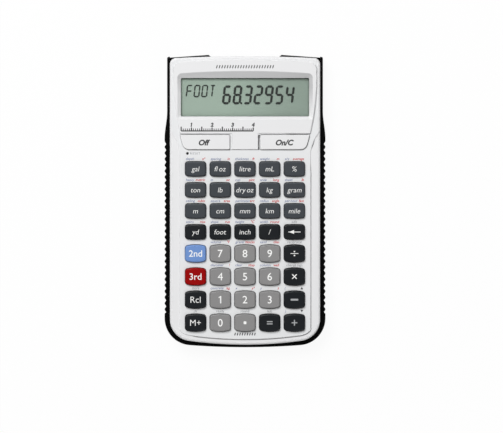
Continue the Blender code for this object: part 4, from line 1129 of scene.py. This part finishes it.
class CALCULATOR_OT_rear_housing(bpy.types.Operator):
    """Silver back with side walls, bosses, posts, drawer guides, doorway and a bare label recess"""

    bl_idname = "calculator.rear_housing"
    bl_label = "Rear housing"

    def execute(self, context):
        high = parting_low_z
        boss_z = back_z + REAR_BOSS_HEIGHT
        sunk = floor_z - BACK_THICKNESS / 2
        shell = slab(body_outline(), back_z, high, foot=BODY_EDGE, steps=7)
        shell = cut(shell, slab(body_outline(WALL), floor_z, high + OVERRUN))
        shell = cut(shell, groove_tools(rail_low_z - FIT, high + OVERRUN))
        shell = add(shell, *screw_rods(sunk, boss_z, SCREW_HEAD_RADIUS + FIT + REAR_BOSS_WALL))
        guide_head_y = body_head_y - END_BOW_TOP - WALL / 2
        for x, guide in ((tray_low.x - FIT, -TRAY_GUIDE), (tray_high.x + FIT, TRAY_GUIDE)):
            shell = add(shell, block((x, tray_low.y, sunk), (x + guide, guide_head_y, boss_z)))
        post_high_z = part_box("circuit_board")[0].z - FIT
        rows = [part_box(node)[0].y + FLANGE_REACH for node in ("key_0", "key_7", "key_litre")]
        post_x = (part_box("key_3")[0].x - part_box("key_2")[0].x) * 1.5
        places = [(side * post_x, y) for y in rows for side in (-1, 1)]
        posts = [rod(x, y, sunk, post_high_z, POST_RADIUS, 24) for x, y in places]
        shell = add(shell, gathered(posts))
        door_low = (tray_low.x - FIT, body_head_y - WALL - END_BOW_TOP - OVERRUN, floor_z)
        shell = cut(shell, block(door_low, (tray_high.x + FIT, body_head_y + OVERRUN, tray_high.z + FIT)))
        seat_z = back_z + SCREW_SUNK + SCREW_HEAD_HEIGHT + FIT
        shell = cut(shell, gathered(screw_rods(back_z - OVERRUN, seat_z, SCREW_HEAD_RADIUS + FIT)))
        shell = cut(shell, gathered(screw_rods(back_z, ceiling_z, SCREW_RADIUS + FIT)))
        end = (HAIR, LABEL_CORNER)
        across, foot, head = LABEL_REACH
        label = bowed_outline(body_half * across, body_foot_y * foot, body_head_y * head, end, end)
        shell = cut(shell, slab(label, back_z - OVERRUN, back_z + LABEL_DEPTH))
        finished(shell, "rear_shell", ["silver_abs"], "rear_housing")
        return {"FINISHED"}


class CALCULATOR_OT_screws(bpy.types.Operator):
    """Four cross-slot screws in the back"""

    bl_idname = "calculator.screws"
    bl_label = "Screws"

    def execute(self, context):
        for number, (x, y) in enumerate(screw_places(), 1):
            node = f"housing_screw_{number}"
            low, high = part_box(node)
            neck = low.z + SCREW_HEAD_HEIGHT
            rounding = SCREW_HEAD_HEIGHT / 4
            flat = SCREW_HEAD_RADIUS - rounding
            core = SCREW_RADIUS * 0.85
            profile = [(0, low.z), (flat, low.z)]
            for turn in (math.pi / 2 * i / 5 for i in range(1, 6)):
                profile.append((flat + rounding * math.sin(turn), low.z + rounding * (1 - math.cos(turn))))
            profile += [(SCREW_HEAD_RADIUS, neck), (core, neck)]
            for i in range(int((high.z - neck) / SCREW_THREAD)):
                z = neck + SCREW_THREAD * i
                profile += [(core, z + SCREW_THREAD * 0.3), (SCREW_RADIUS, z + SCREW_THREAD * 0.65)]
            profile += [(SCREW_RADIUS * 0.7, high.z), (0, high.z)]
            arm = SCREW_HEAD_RADIUS - SCREW_SLOT_WIDTH
            slot = cross(x, y, arm, SCREW_SLOT_WIDTH / 2, low.z - OVERRUN, low.z + SCREW_SLOT_DEPTH)
            finished(cut(turned(profile, x, y, 40), slot), f"screw_{number}", ["plated_steel"], node)
        return {"FINISHED"}


class CALCULATOR_OT_slide_cover(bpy.types.Operator):
    """Black slide cover, stowed behind the body: ribbed sides, rails and a thumb notch"""

    bl_idname = "calculator.slide_cover"
    bl_label = "Slide cover"

    def execute(self, context):
        sections = [
            (cover_outline(COVER_EDGE * inwards, RIB_HEIGHT * (1 - 0.7 * inwards)), COVER_EDGE * rise)
            for inwards, rise in quarter(5)[::-1]
        ]
        for inwards, rise in quarter(3):
            sections.append((cover_outline(COVER_RIM * inwards), cover_high.z - COVER_RIM * rise))
        cover = loft(sections)
        room = [(x, y + OVERRUN) if y > 0 else (x, y) for x, y in offset(body_outline(), FIT)]
        cover = cut(cover, slab(room, COVER_PLATE, cover_high.z + OVERRUN))
        rail_foot_y = body_foot_y + END_BOW_FOOT + FOOT_CORNER
        rail_end = (cover_high.y - RAIL_HEAD, rail_high_z - COVER_RIM / 4)
        for side in (-1, 1):
            inner, outer = side * (groove_half + FIT), side * (body_half + FIT + COVER_SIDE / 2)
            cover = add(cover, block((inner, rail_foot_y, rail_low_z), (outer, *rail_end)))
        ends = (COVER_END_BOW, FRAME_LINE_CORNER), (HAIR, FRAME_LINE_CORNER)
        low, high = cover_low.y + FOOT_CORNER, cover_high.y - NOTCH_DEPTH * 3
        outer = bowed_outline(body_half - FOOT_CORNER / 2, low, high, *ends)
        line = slab(outer, -OVERRUN, context.scene.calculator_cover.frame_line)
        line = cut(line, slab(offset(outer, -FRAME_LINE_WIDTH), -2 * OVERRUN, 2 * OVERRUN))
        looks = ("black_cover_abs", "polished_cover_abs")
        cover = finished(cut(cover, line), "slide_cover_shell", looks, "slide_cover")
        paint_faces(cover, 1, lambda middle, normal: abs(normal.z) < 0.3 and middle.xy.dot(normal.xy) > 0)
        # Rib tips get handling wear and a painted highlight, rising to full at each rib's outer edge.
        worn = cover.data.attributes.new("worn", "FLOAT", "POINT")
        for vert, item in zip(cover.data.vertices, worn.data):
            item.value = max(0.0, min(1.0, (abs(vert.co.x) - grip_half) / RIB_HEIGHT))
        return {"FINISHED"}


class CALCULATOR_OT_column_keys(bpy.types.Operator):
    """Forty keys in five columns, each with its flange"""

    bl_idname = "calculator.column_keys"
    bl_label = "Column keys"

    def execute(self, context):
        keys = context.scene.calculator_keys
        for node in column_keys:
            low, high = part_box(node)
            root, top = low.z + FLANGE_HEIGHT / 2, high.z - LEGEND_ROOM
            cap = slab(key_outline(node), root, top, head=keys.edge, reach=keys.edge_reach, steps=6)
            flange = [(low.x, low.y), (high.x, low.y), (high.x, high.y), (low.x, high.y)]
            cap = add(cap, slab(flange, low.z, low.z + FLANGE_HEIGHT))
            finished(cap, node.replace("key_", "cap_"), [f"{slot_of_node[node]}_abs"], node)
        return {"FINISHED"}


class CALCULATOR_OT_power_keys(bpy.types.Operator):
    """The two long silver keys under the display"""

    bl_idname = "calculator.power_keys"
    bl_label = "Power keys"

    def execute(self, context):
        outlines = (mirrored(power_key_outline(OFF_KEY_REACH)), power_key_outline())
        for node, outline in zip(power_keys, outlines):
            low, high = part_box(node)
            cap = slab(outline, low.z + FLANGE_HEIGHT / 2, high.z - LEGEND_ROOM, head=POWER_KEY_EDGE)
            cap = add(cap, slab(offset(outline, FLANGE_REACH), low.z, low.z + FLANGE_HEIGHT))
            finished(cap, node.replace("key_", "cap_"), ["silver_abs"], node)
        return {"FINISHED"}


def lettering(text, height, x, y, z, slant, weight, align="CENTER"):
    """Thin letters whose capitals have this height, with their middle, or the end in align, at x and y."""
    curve = bpy.data.curves.new("letters", "FONT")
    curve.body = text
    curve.size = height / CAP_SHARE
    curve.shear = slant
    curve.offset = weight
    curve.space_word = 0.6
    curve.resolution_u = 4
    letters = bpy.data.objects.new("letters", curve)
    bpy.context.scene.collection.objects.link(letters)
    bpy.context.view_layer.update()
    mesh = evaluated_mesh(letters)
    bpy.data.objects.remove(letters, do_unlink=True)
    work = bmesh.new()
    work.from_mesh(mesh)
    bmesh.ops.remove_doubles(work, verts=work.verts, dist=MERGE)
    left = min(vert.co.x for vert in work.verts)
    right = max(vert.co.x for vert in work.verts)
    anchor = {"LEFT": left, "CENTER": (left + right) / 2, "RIGHT": right}[align]
    bmesh.ops.recalc_face_normals(work, faces=work.faces)
    if sum(face.normal.z for face in work.faces) < 0:
        bmesh.ops.reverse_faces(work, faces=work.faces)
    grown = bmesh.ops.extrude_face_region(work, geom=list(work.faces), use_keep_orig=True)
    tops = [item for item in grown["geom"] if isinstance(item, bmesh.types.BMVert)]
    bmesh.ops.translate(work, vec=(0, 0, PRINT_THICKNESS), verts=tops)
    bmesh.ops.recalc_face_normals(work, faces=work.faces)
    bmesh.ops.translate(work, vec=(x - anchor, y - height / 2, z), verts=work.verts)
    return piece_from(work)


def bar(x, y, length, thickness, turn, z):
    """A printed bar about its middle, with rounded corners, turned by degrees."""
    half, thin, radius = length / 2, thickness / 2, thickness * 0.3
    corners = ((-half, -thin, radius), (half, -thin, radius), (half, thin, radius), (-half, thin, radius))
    cosine, sine = math.cos(math.radians(turn)), math.sin(math.radians(turn))
    points = rounded_polygon(corners, 4)
    points = [(x + px * cosine - py * sine, y + px * sine + py * cosine) for px, py in points]
    return slab(points, z, z + PRINT_THICKNESS)


def flag_of_one(x, y, height, z):
    """The short slanting stroke at the head of a figure 1 whose stem stands at x."""
    return bar(x - 0.13 * height, y + 0.37 * height, 0.34 * height, 0.12 * height, 38, z + HAIR)


class CALCULATOR_OT_key_legends(bpy.types.Operator):
    """Legends printed on the keys"""

    bl_idname = "calculator.key_legends"
    bl_label = "Key legends"

    def execute(self, context):
        for node in column_keys:
            name = node.replace("key_", "")
            x, y, _, _ = key_cap(node)
            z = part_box(node)[1].z - LEGEND_ROOM
            marks = []
            for i, (bar_x, bar_y, length, thick, turn) in enumerate(SYMBOLS.get(name, ())):
                marks.append(bar(x + bar_x * MM, y + bar_y * MM, length * MM, thick * MM, turn, z + i * HAIR))
            if name == "backspace":
                tip = [(x + tip_x * MM, y + tip_y * MM) for tip_x, tip_y in ARROW_TIP]
                marks.append(slab(tip, z + HAIR, z + HAIR + PRINT_THICKNESS))
            if name in KEY_LEGENDS:
                text, height, slant = KEY_LEGENDS[name]
                weight = BOLD_WEIGHT if slant == 0 and name not in THIN_LEGENDS else THIN_WEIGHT
                if name == "1":
                    x += ONE_SHIFT
                marks.append(lettering(text, height * MM, x, y, z, slant, weight))
                if name == "1":
                    marks.append(flag_of_one(x, y, height * MM, z))
            ink = "pale_ink" if name in PALE_SYMBOLS else "white_ink"
            finished(gathered(marks), f"legend_{name}", [ink], body=body_of_node[node])
        y = (power_low_y + power_high_y) / 2 - POWER_LEGEND_DROP
        for node, (text, x) in POWER_LEGENDS.items():
            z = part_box(node)[1].z - LEGEND_ROOM
            marks = lettering(text, POWER_LEGEND_HEIGHT, x, y, z, 0.25, POWER_LEGEND_WEIGHT)
            finished(marks, node.replace("key_", "legend_"), ["dark_ink"], body=body_of_node[node])
        return {"FINISHED"}


class CALCULATOR_OT_face_print(bpy.types.Operator):
    """Small print on the face: second and third functions, a ruler and fine hatching"""

    bl_idname = "calculator.face_print"
    bl_label = "Face print"

    def execute(self, context):
        prints = {"blue": [], "red": [], "grey": [], "dark": []}

        def word(ink, text, x, y, slant=0.0, weight=0.0, align="CENTER", height=WORD_HEIGHT):
            if text:
                prints[ink].append(lettering(text, height, x, y, keypad_z, slant, weight, align))

        for node in column_keys:
            name = node.replace("key_", "")
            x, y, half_width, half_height = key_cap(node)
            y = y + half_height + WORD_LIFT
            left_word, right_word = SMALL_WORDS.get(name, ("", ""))
            word("blue", left_word, x - half_width + WORD_INSET, y, PRINT_SLANT, BLUE_WEIGHT, "LEFT")
            word("red", right_word, x + half_width - WORD_INSET, y, PRINT_SLANT, RED_WEIGHT, "RIGHT")
            word("grey", MIDDLE_WORDS.get(name), x, y)
            if name in ("minus", "plus"):
                tip_x, half = x + MARK_X, MARK_HALF if name == "minus" else -MARK_HALF
                tip = [(tip_x - half, y - half), (tip_x + half, y - half), (tip_x, y + half)]
                prints["dark"].append(slab(tip, keypad_z, keypad_z + PRINT_THICKNESS))
        reset_left = reset_x + RESET_WORD_GAP
        word("grey", "R E S E T", reset_left, reset_y, align="LEFT", height=RESET_WORD_HEIGHT)

        dark = prints["dark"]
        ruler_low = panel_low_y + RULER_LIFT
        length = RULER_TICKS * MM
        dark.append(bar(RULER_LEFT + length / 2, ruler_low, length, RULER_LINE, 0, panel_z))
        for i in range(RULER_TICKS + 1):
            height = TICK_HEIGHTS[(i % 5 == 0) + (i % 10 == 0)]
            x = RULER_LEFT + i * MM
            dark.append(bar(x, ruler_low + height / 2, height, TICK_WIDTHS[i % 5 == 0], 90, panel_z))
            if i % 10 == 5:
                number, y = str((i + 5) // 10), ruler_low + NUMBER_LIFT
                dark.append(lettering(number, NUMBER_HEIGHT, x, y, panel_z, 0.15, NUMBER_WEIGHT))
                if number == "1":
                    dark.append(flag_of_one(x, y, NUMBER_HEIGHT, panel_z))
        hatches = (
            (22, HEAD_HATCH, window_high_y + HEAD_HATCH_LIFT, panel_z),
            (9, FOOT_HATCH, body_foot_y + FOOT_HATCH_LIFT, keypad_z),
        )
        for count, (length, width, pitch), y, z in hatches:
            for i in range(count):
                dark.append(bar((i - (count - 1) / 2) * pitch, y, length, width, HATCH_LEAN, z))
        for name, marks in prints.items():
            finished(gathered(marks), f"face_print_{name}", [f"{name}_ink"])
        return {"FINISHED"}


class CALCULATOR_OT_window(bpy.types.Operator):
    """Clear window at the bottom of the sloped recess"""

    bl_idname = "calculator.window"
    bl_label = "Window"

    def execute(self, context):
        plug = offset(window_outline(), -LENS_FIT)
        lens = slab(plug, lens_low.z + LENS_FLANGE / 2, lens_high.z, head=LENS_EDGE, steps=3)
        lip = offset(window_outline(), LENS_FLANGE_LIP)
        lens = add(lens, slab(lip, lens_low.z, lens_low.z + LENS_FLANGE))
        pocket = offset(window_outline(), GLASS_ROOM - GLASS_INSET)
        lens = cut(lens, slab(pocket, lens_low.z - OVERRUN, glass_high.z + GLASS_LIFT + GLASS_ROOM))
        finished(lens, "window", ["clear_acrylic"], "display_lens")
        return {"FINISHED"}


def figure(letter, left, foot, size, z):
    """A segment figure: each segment is a bar with pointed ends, and the whole leans to the right."""
    width, height, stroke = size
    made = []
    for segment in FIGURES[letter]:
        (ax, ay), (bx, by) = SEGMENTS[segment]
        start = Vector((ax * width, ay * height))
        end = Vector((bx * width, by * height))
        along = (end - start).normalized()
        side = Vector((-along.y, along.x)) * stroke / 2
        start, end = start + along * stroke * 0.05, end - along * stroke * 0.05
        inner_start, inner_end = start + along * stroke / 2, end - along * stroke / 2
        points = [start, inner_start - side, inner_end - side, end, inner_end + side, inner_start + side]
        points = [(left + p.x + p.y * FIGURE_SLANT, foot + p.y) for p in points]
        made.append(slab(points, z, z + SEGMENT_THICKNESS))
    return made


class CALCULATOR_OT_display(bpy.types.Operator):
    """Liquid crystal display: reflector, dark segments above it and the front glass"""

    bl_idname = "calculator.display"
    bl_label = "Display"

    def execute(self, context):
        display = context.scene.calculator_display
        face_z = glass_high.z + GLASS_LIFT
        segment_z = face_z - FRONT_GLASS - FRONT_GLASS / 2 - SEGMENT_THICKNESS
        outline = offset(window_outline(), -GLASS_INSET)
        upper = slab(outline, (glass_low.z + glass_high.z) / 2, segment_z - SEGMENT_LIFT)
        cell = add(block(glass_low, glass_high), upper)
        finished(cell, "display_cell", ["display_reflector"], "display_glass")
        finished(slab(outline, face_z - FRONT_GLASS, face_z), "display_front", ["polariser"])
        made = []
        foot = window_low_y + NUMBER_FOOT
        column = 0
        for letter in display.number:
            left = NUMBER_LEFT + column * NUMBER_PITCH
            if letter == ".":
                made.append(bar(left - POINT_BACK, foot, POINT_SIZE, POINT_SIZE, 0, segment_z))
            else:
                made += figure(letter, left, foot, NUMBER_FIGURE, segment_z)
                column += 1
        for i, letter in enumerate(display.unit):
            left = UNIT_LEFT + i * UNIT_PITCH
            made += figure(letter, left, window_low_y + UNIT_FOOT, UNIT_FIGURE, segment_z)
        finished(gathered(made), "display_segments", ["dark_segment"])
        return {"FINISHED"}


class CALCULATOR_OT_battery_drawer(bpy.types.Operator):
    """Battery drawer with its coin cell"""

    bl_idname = "calculator.battery_drawer"
    bl_label = "Battery drawer"

    def execute(self, context):
        radius = (cell_high.x - cell_low.x) / 2
        x, y = (cell_high.x + cell_low.x) / 2, (cell_high.y + cell_low.y) / 2
        front_y = y + radius + FIT
        left, right = tray_low.x, tray_high.x
        front = [(left, front_y), (right, front_y)]
        for i in range(17):
            front_x = right - (right - left) * i / 16
            front.append((front_x, body_head_at(front_x)))
        seam_y = front_y + TRAY_WALL / 2
        back = [(left, tray_low.y), (right, tray_low.y), (right, seam_y), (left, seam_y)]
        tray = slab(back, tray_low.z, cell_high.z, head=TRAY_EDGE, steps=3)
        edge = TRAY_FRONT_EDGE
        tray = add(tray, slab(front, tray_low.z, tray_high.z, head=edge, foot=edge, steps=4))
        tray = cut(tray, rod(x, y, tray_low.z + TRAY_FLOOR, cell_high.z + OVERRUN, radius + FIT, 96))
        pull_y, half = body_head_at(right) - TRAY_PULL_DEPTH, TRAY_PULL_WIDTH / 2
        corners = [(x + side * half, pull_y, TRAY_PULL_DEPTH / 2) for side in (-1, 1)]
        corners += [(x + side * half, body_head_y + OVERRUN, 0) for side in (1, -1)]
        pull = rounded_polygon(corners, 6)
        tray = cut(tray, slab(pull, tray_high.z - TRAY_PULL_HEIGHT, tray_high.z + OVERRUN))
        finished(tray, "drawer", ["silver_abs"], "battery_tray")

        low, high = cell_low.z, cell_high.z
        step, step_z = radius - CELL_STEP, cell_low.z + CELL_STEP_HEIGHT
        profile = [(0, low), (step - CELL_EDGE, low), (step, low + CELL_EDGE), (step, step_z)]
        profile += [(radius - CELL_EDGE, step_z), (radius, step_z + CELL_EDGE)]
        profile += [(radius - CELL_EDGE * inwards, high - CELL_EDGE * rise) for inwards, rise in quarter(5)]
        cell = turned(profile + [(0, high)], x, y, 128)
        arm, stroke, sunk = CELL_MARK
        mark = cross(x, y + radius / 2, arm / 2, stroke / 2, high - sunk, high + OVERRUN)
        finished(cut(cell, mark), "cell", ["stamped_steel"], "coin_cell")
        return {"FINISHED"}


class CALCULATOR_OT_inner_parts(bpy.types.Operator):
    """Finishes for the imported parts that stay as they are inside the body, and for the reset pin"""

    bl_idname = "calculator.inner_parts"
    bl_label = "Inner parts"

    def execute(self, context):
        finishes = {
            "display_holder": "grey_polystyrene",
            "contact_strip": "silicone_rubber",
            "circuit_board": "solder_mask",
            "chip_cap": "black_epoxy",
            "rubber_keypad": "silicone_rubber",
            "battery_contact": "stamped_steel",
            "reset_plunger": "black_acetal",
        }
        for node, name in finishes.items():
            piece = frame["nodes"][node]
            piece.data.materials.clear()
            piece.data.materials.append(finish(name))
        return {"FINISHED"}


class CALCULATOR_OT_stage(bpy.types.Operator):
    """White floor, soft lamps, plain surroundings and the camera straight above"""

    bl_idname = "calculator.stage"
    bl_label = "Stage"

    def execute(self, context):
        scene = context.scene
        settings = scene.calculator_stage
        work = bmesh.new()
        bmesh.ops.create_grid(work, x_segments=1, y_segments=1, size=FLOOR_HALF)
        bmesh.ops.translate(work, vec=(0, 0, -FLOOR_DROP), verts=work.verts)
        floor = piece_from(work, "floor")
        constants = {"Base Color": opaque("#F2F2F2"), "Roughness": 0.9}
        material, tree, shader = bare_material("white_paper", constants)

        def maths(operation, first, second):
            return add_node(tree, "ShaderNodeMath", {0: first, 1: second}, operation=operation).outputs[0]

        rays = add_node(tree, "ShaderNodeLightPath").outputs
        seen = maths("MAXIMUM", rays["Is Camera Ray"], rays["Is Glossy Ray"])
        lift = maths("MULTIPLY", maths("MAXIMUM", seen, rays["Is Transmission Ray"]), settings.floor_lift)
        white = add_node(tree, "ShaderNodeEmission", {"Strength": 1.0}).outputs[0]
        mix = add_node(tree, "ShaderNodeMixShader", {0: lift, 1: shader.outputs[0], 2: white})
        tree.links.new(mix.outputs[0], tree.nodes["Material Output"].inputs["Surface"])
        floor.data.materials.append(material)

        world = bpy.data.worlds.new("plain_surroundings")
        world.use_nodes = True
        tree = world.node_tree
        background = tree.nodes["Background"]
        background.inputs["Color"].default_value = (1, 1, 1, 1)
        camera_ray = add_node(tree, "ShaderNodeLightPath").outputs["Is Camera Ray"]
        levels = {"Value": camera_ray, "To Min": settings.ambient, "To Max": 1.0}
        strength = add_node(tree, "ShaderNodeMapRange", levels)
        tree.links.new(strength.outputs["Result"], background.inputs["Strength"])
        scene.world = world

        lamps = (("key_lamp", *KEY_LAMP, settings.key_power), ("fill_lamp", *FILL_LAMP, settings.fill_power))
        for name, place, size, power in lamps:
            data = bpy.data.lights.new(name, "AREA")
            data.shape = "DISK"
            data.size = size
            data.energy = power
            lamp = bpy.data.objects.new(name, data)
            lamp.location = place
            lamp.rotation_euler = (-Vector(place)).to_track_quat("-Z", "Y").to_euler()
            scene.collection.objects.link(lamp)

        data = bpy.data.cameras.new("camera")
        data.lens = CAMERA_LENS
        data.sensor_width = CAMERA_SENSOR
        data.clip_end = CAMERA_REACH
        camera = bpy.data.objects.new("camera", data)
        camera.location = CAMERA_PLACE
        scene.collection.objects.link(camera)
        scene.camera = camera
        scene.view_settings.view_transform = "Standard"
        return {"FINISHED"}


class CALCULATOR_PT_sidebar(bpy.types.Panel):
    """Lists the pieces and the sizes and colours that can be changed"""

    bl_idname = "CALCULATOR_PT_sidebar"
    bl_label = "Construction Calculator"
    bl_space_type = "VIEW_3D"
    bl_region_type = "UI"
    bl_category = "Calculator"

    def draw(self, context):
        layout = self.layout
        for name, _ in SETTINGS:
            settings = getattr(context.scene, name)
            for field in settings.bl_rna.properties:
                if field.identifier not in ("rna_type", "name"):
                    layout.prop(settings, field.identifier)
        for operator in OPERATORS:
            layout.operator(operator.bl_idname)


SETTINGS = (
    ("calculator_shell", ShellSettings),
    ("calculator_keys", KeySettings),
    ("calculator_cover", CoverSettings),
    ("calculator_display", DisplaySettings),
    ("calculator_stage", StageSettings),
)
OPERATORS = (
    CALCULATOR_OT_stage,
    CALCULATOR_OT_front_housing,
    CALCULATOR_OT_rear_housing,
    CALCULATOR_OT_screws,
    CALCULATOR_OT_slide_cover,
    CALCULATOR_OT_column_keys,
    CALCULATOR_OT_power_keys,
    CALCULATOR_OT_key_legends,
    CALCULATOR_OT_face_print,
    CALCULATOR_OT_window,
    CALCULATOR_OT_display,
    CALCULATOR_OT_battery_drawer,
    CALCULATOR_OT_inner_parts,
)


def register():
    for name, settings in SETTINGS:
        bpy.utils.register_class(settings)
        setattr(bpy.types.Scene, name, bpy.props.PointerProperty(type=settings))
    for operator in OPERATORS:
        bpy.utils.register_class(operator)
    bpy.utils.register_class(CALCULATOR_PT_sidebar)


def unregister():
    bpy.utils.unregister_class(CALCULATOR_PT_sidebar)
    for operator in reversed(OPERATORS):
        bpy.utils.unregister_class(operator)
    for name, settings in reversed(SETTINGS):
        delattr(bpy.types.Scene, name)
        bpy.utils.unregister_class(settings)


def main():
    register()
    for operator in OPERATORS:
        family, name = operator.bl_idname.split(".")
        getattr(getattr(bpy.ops, family), name)()


if __name__ == "__main__":
    main()
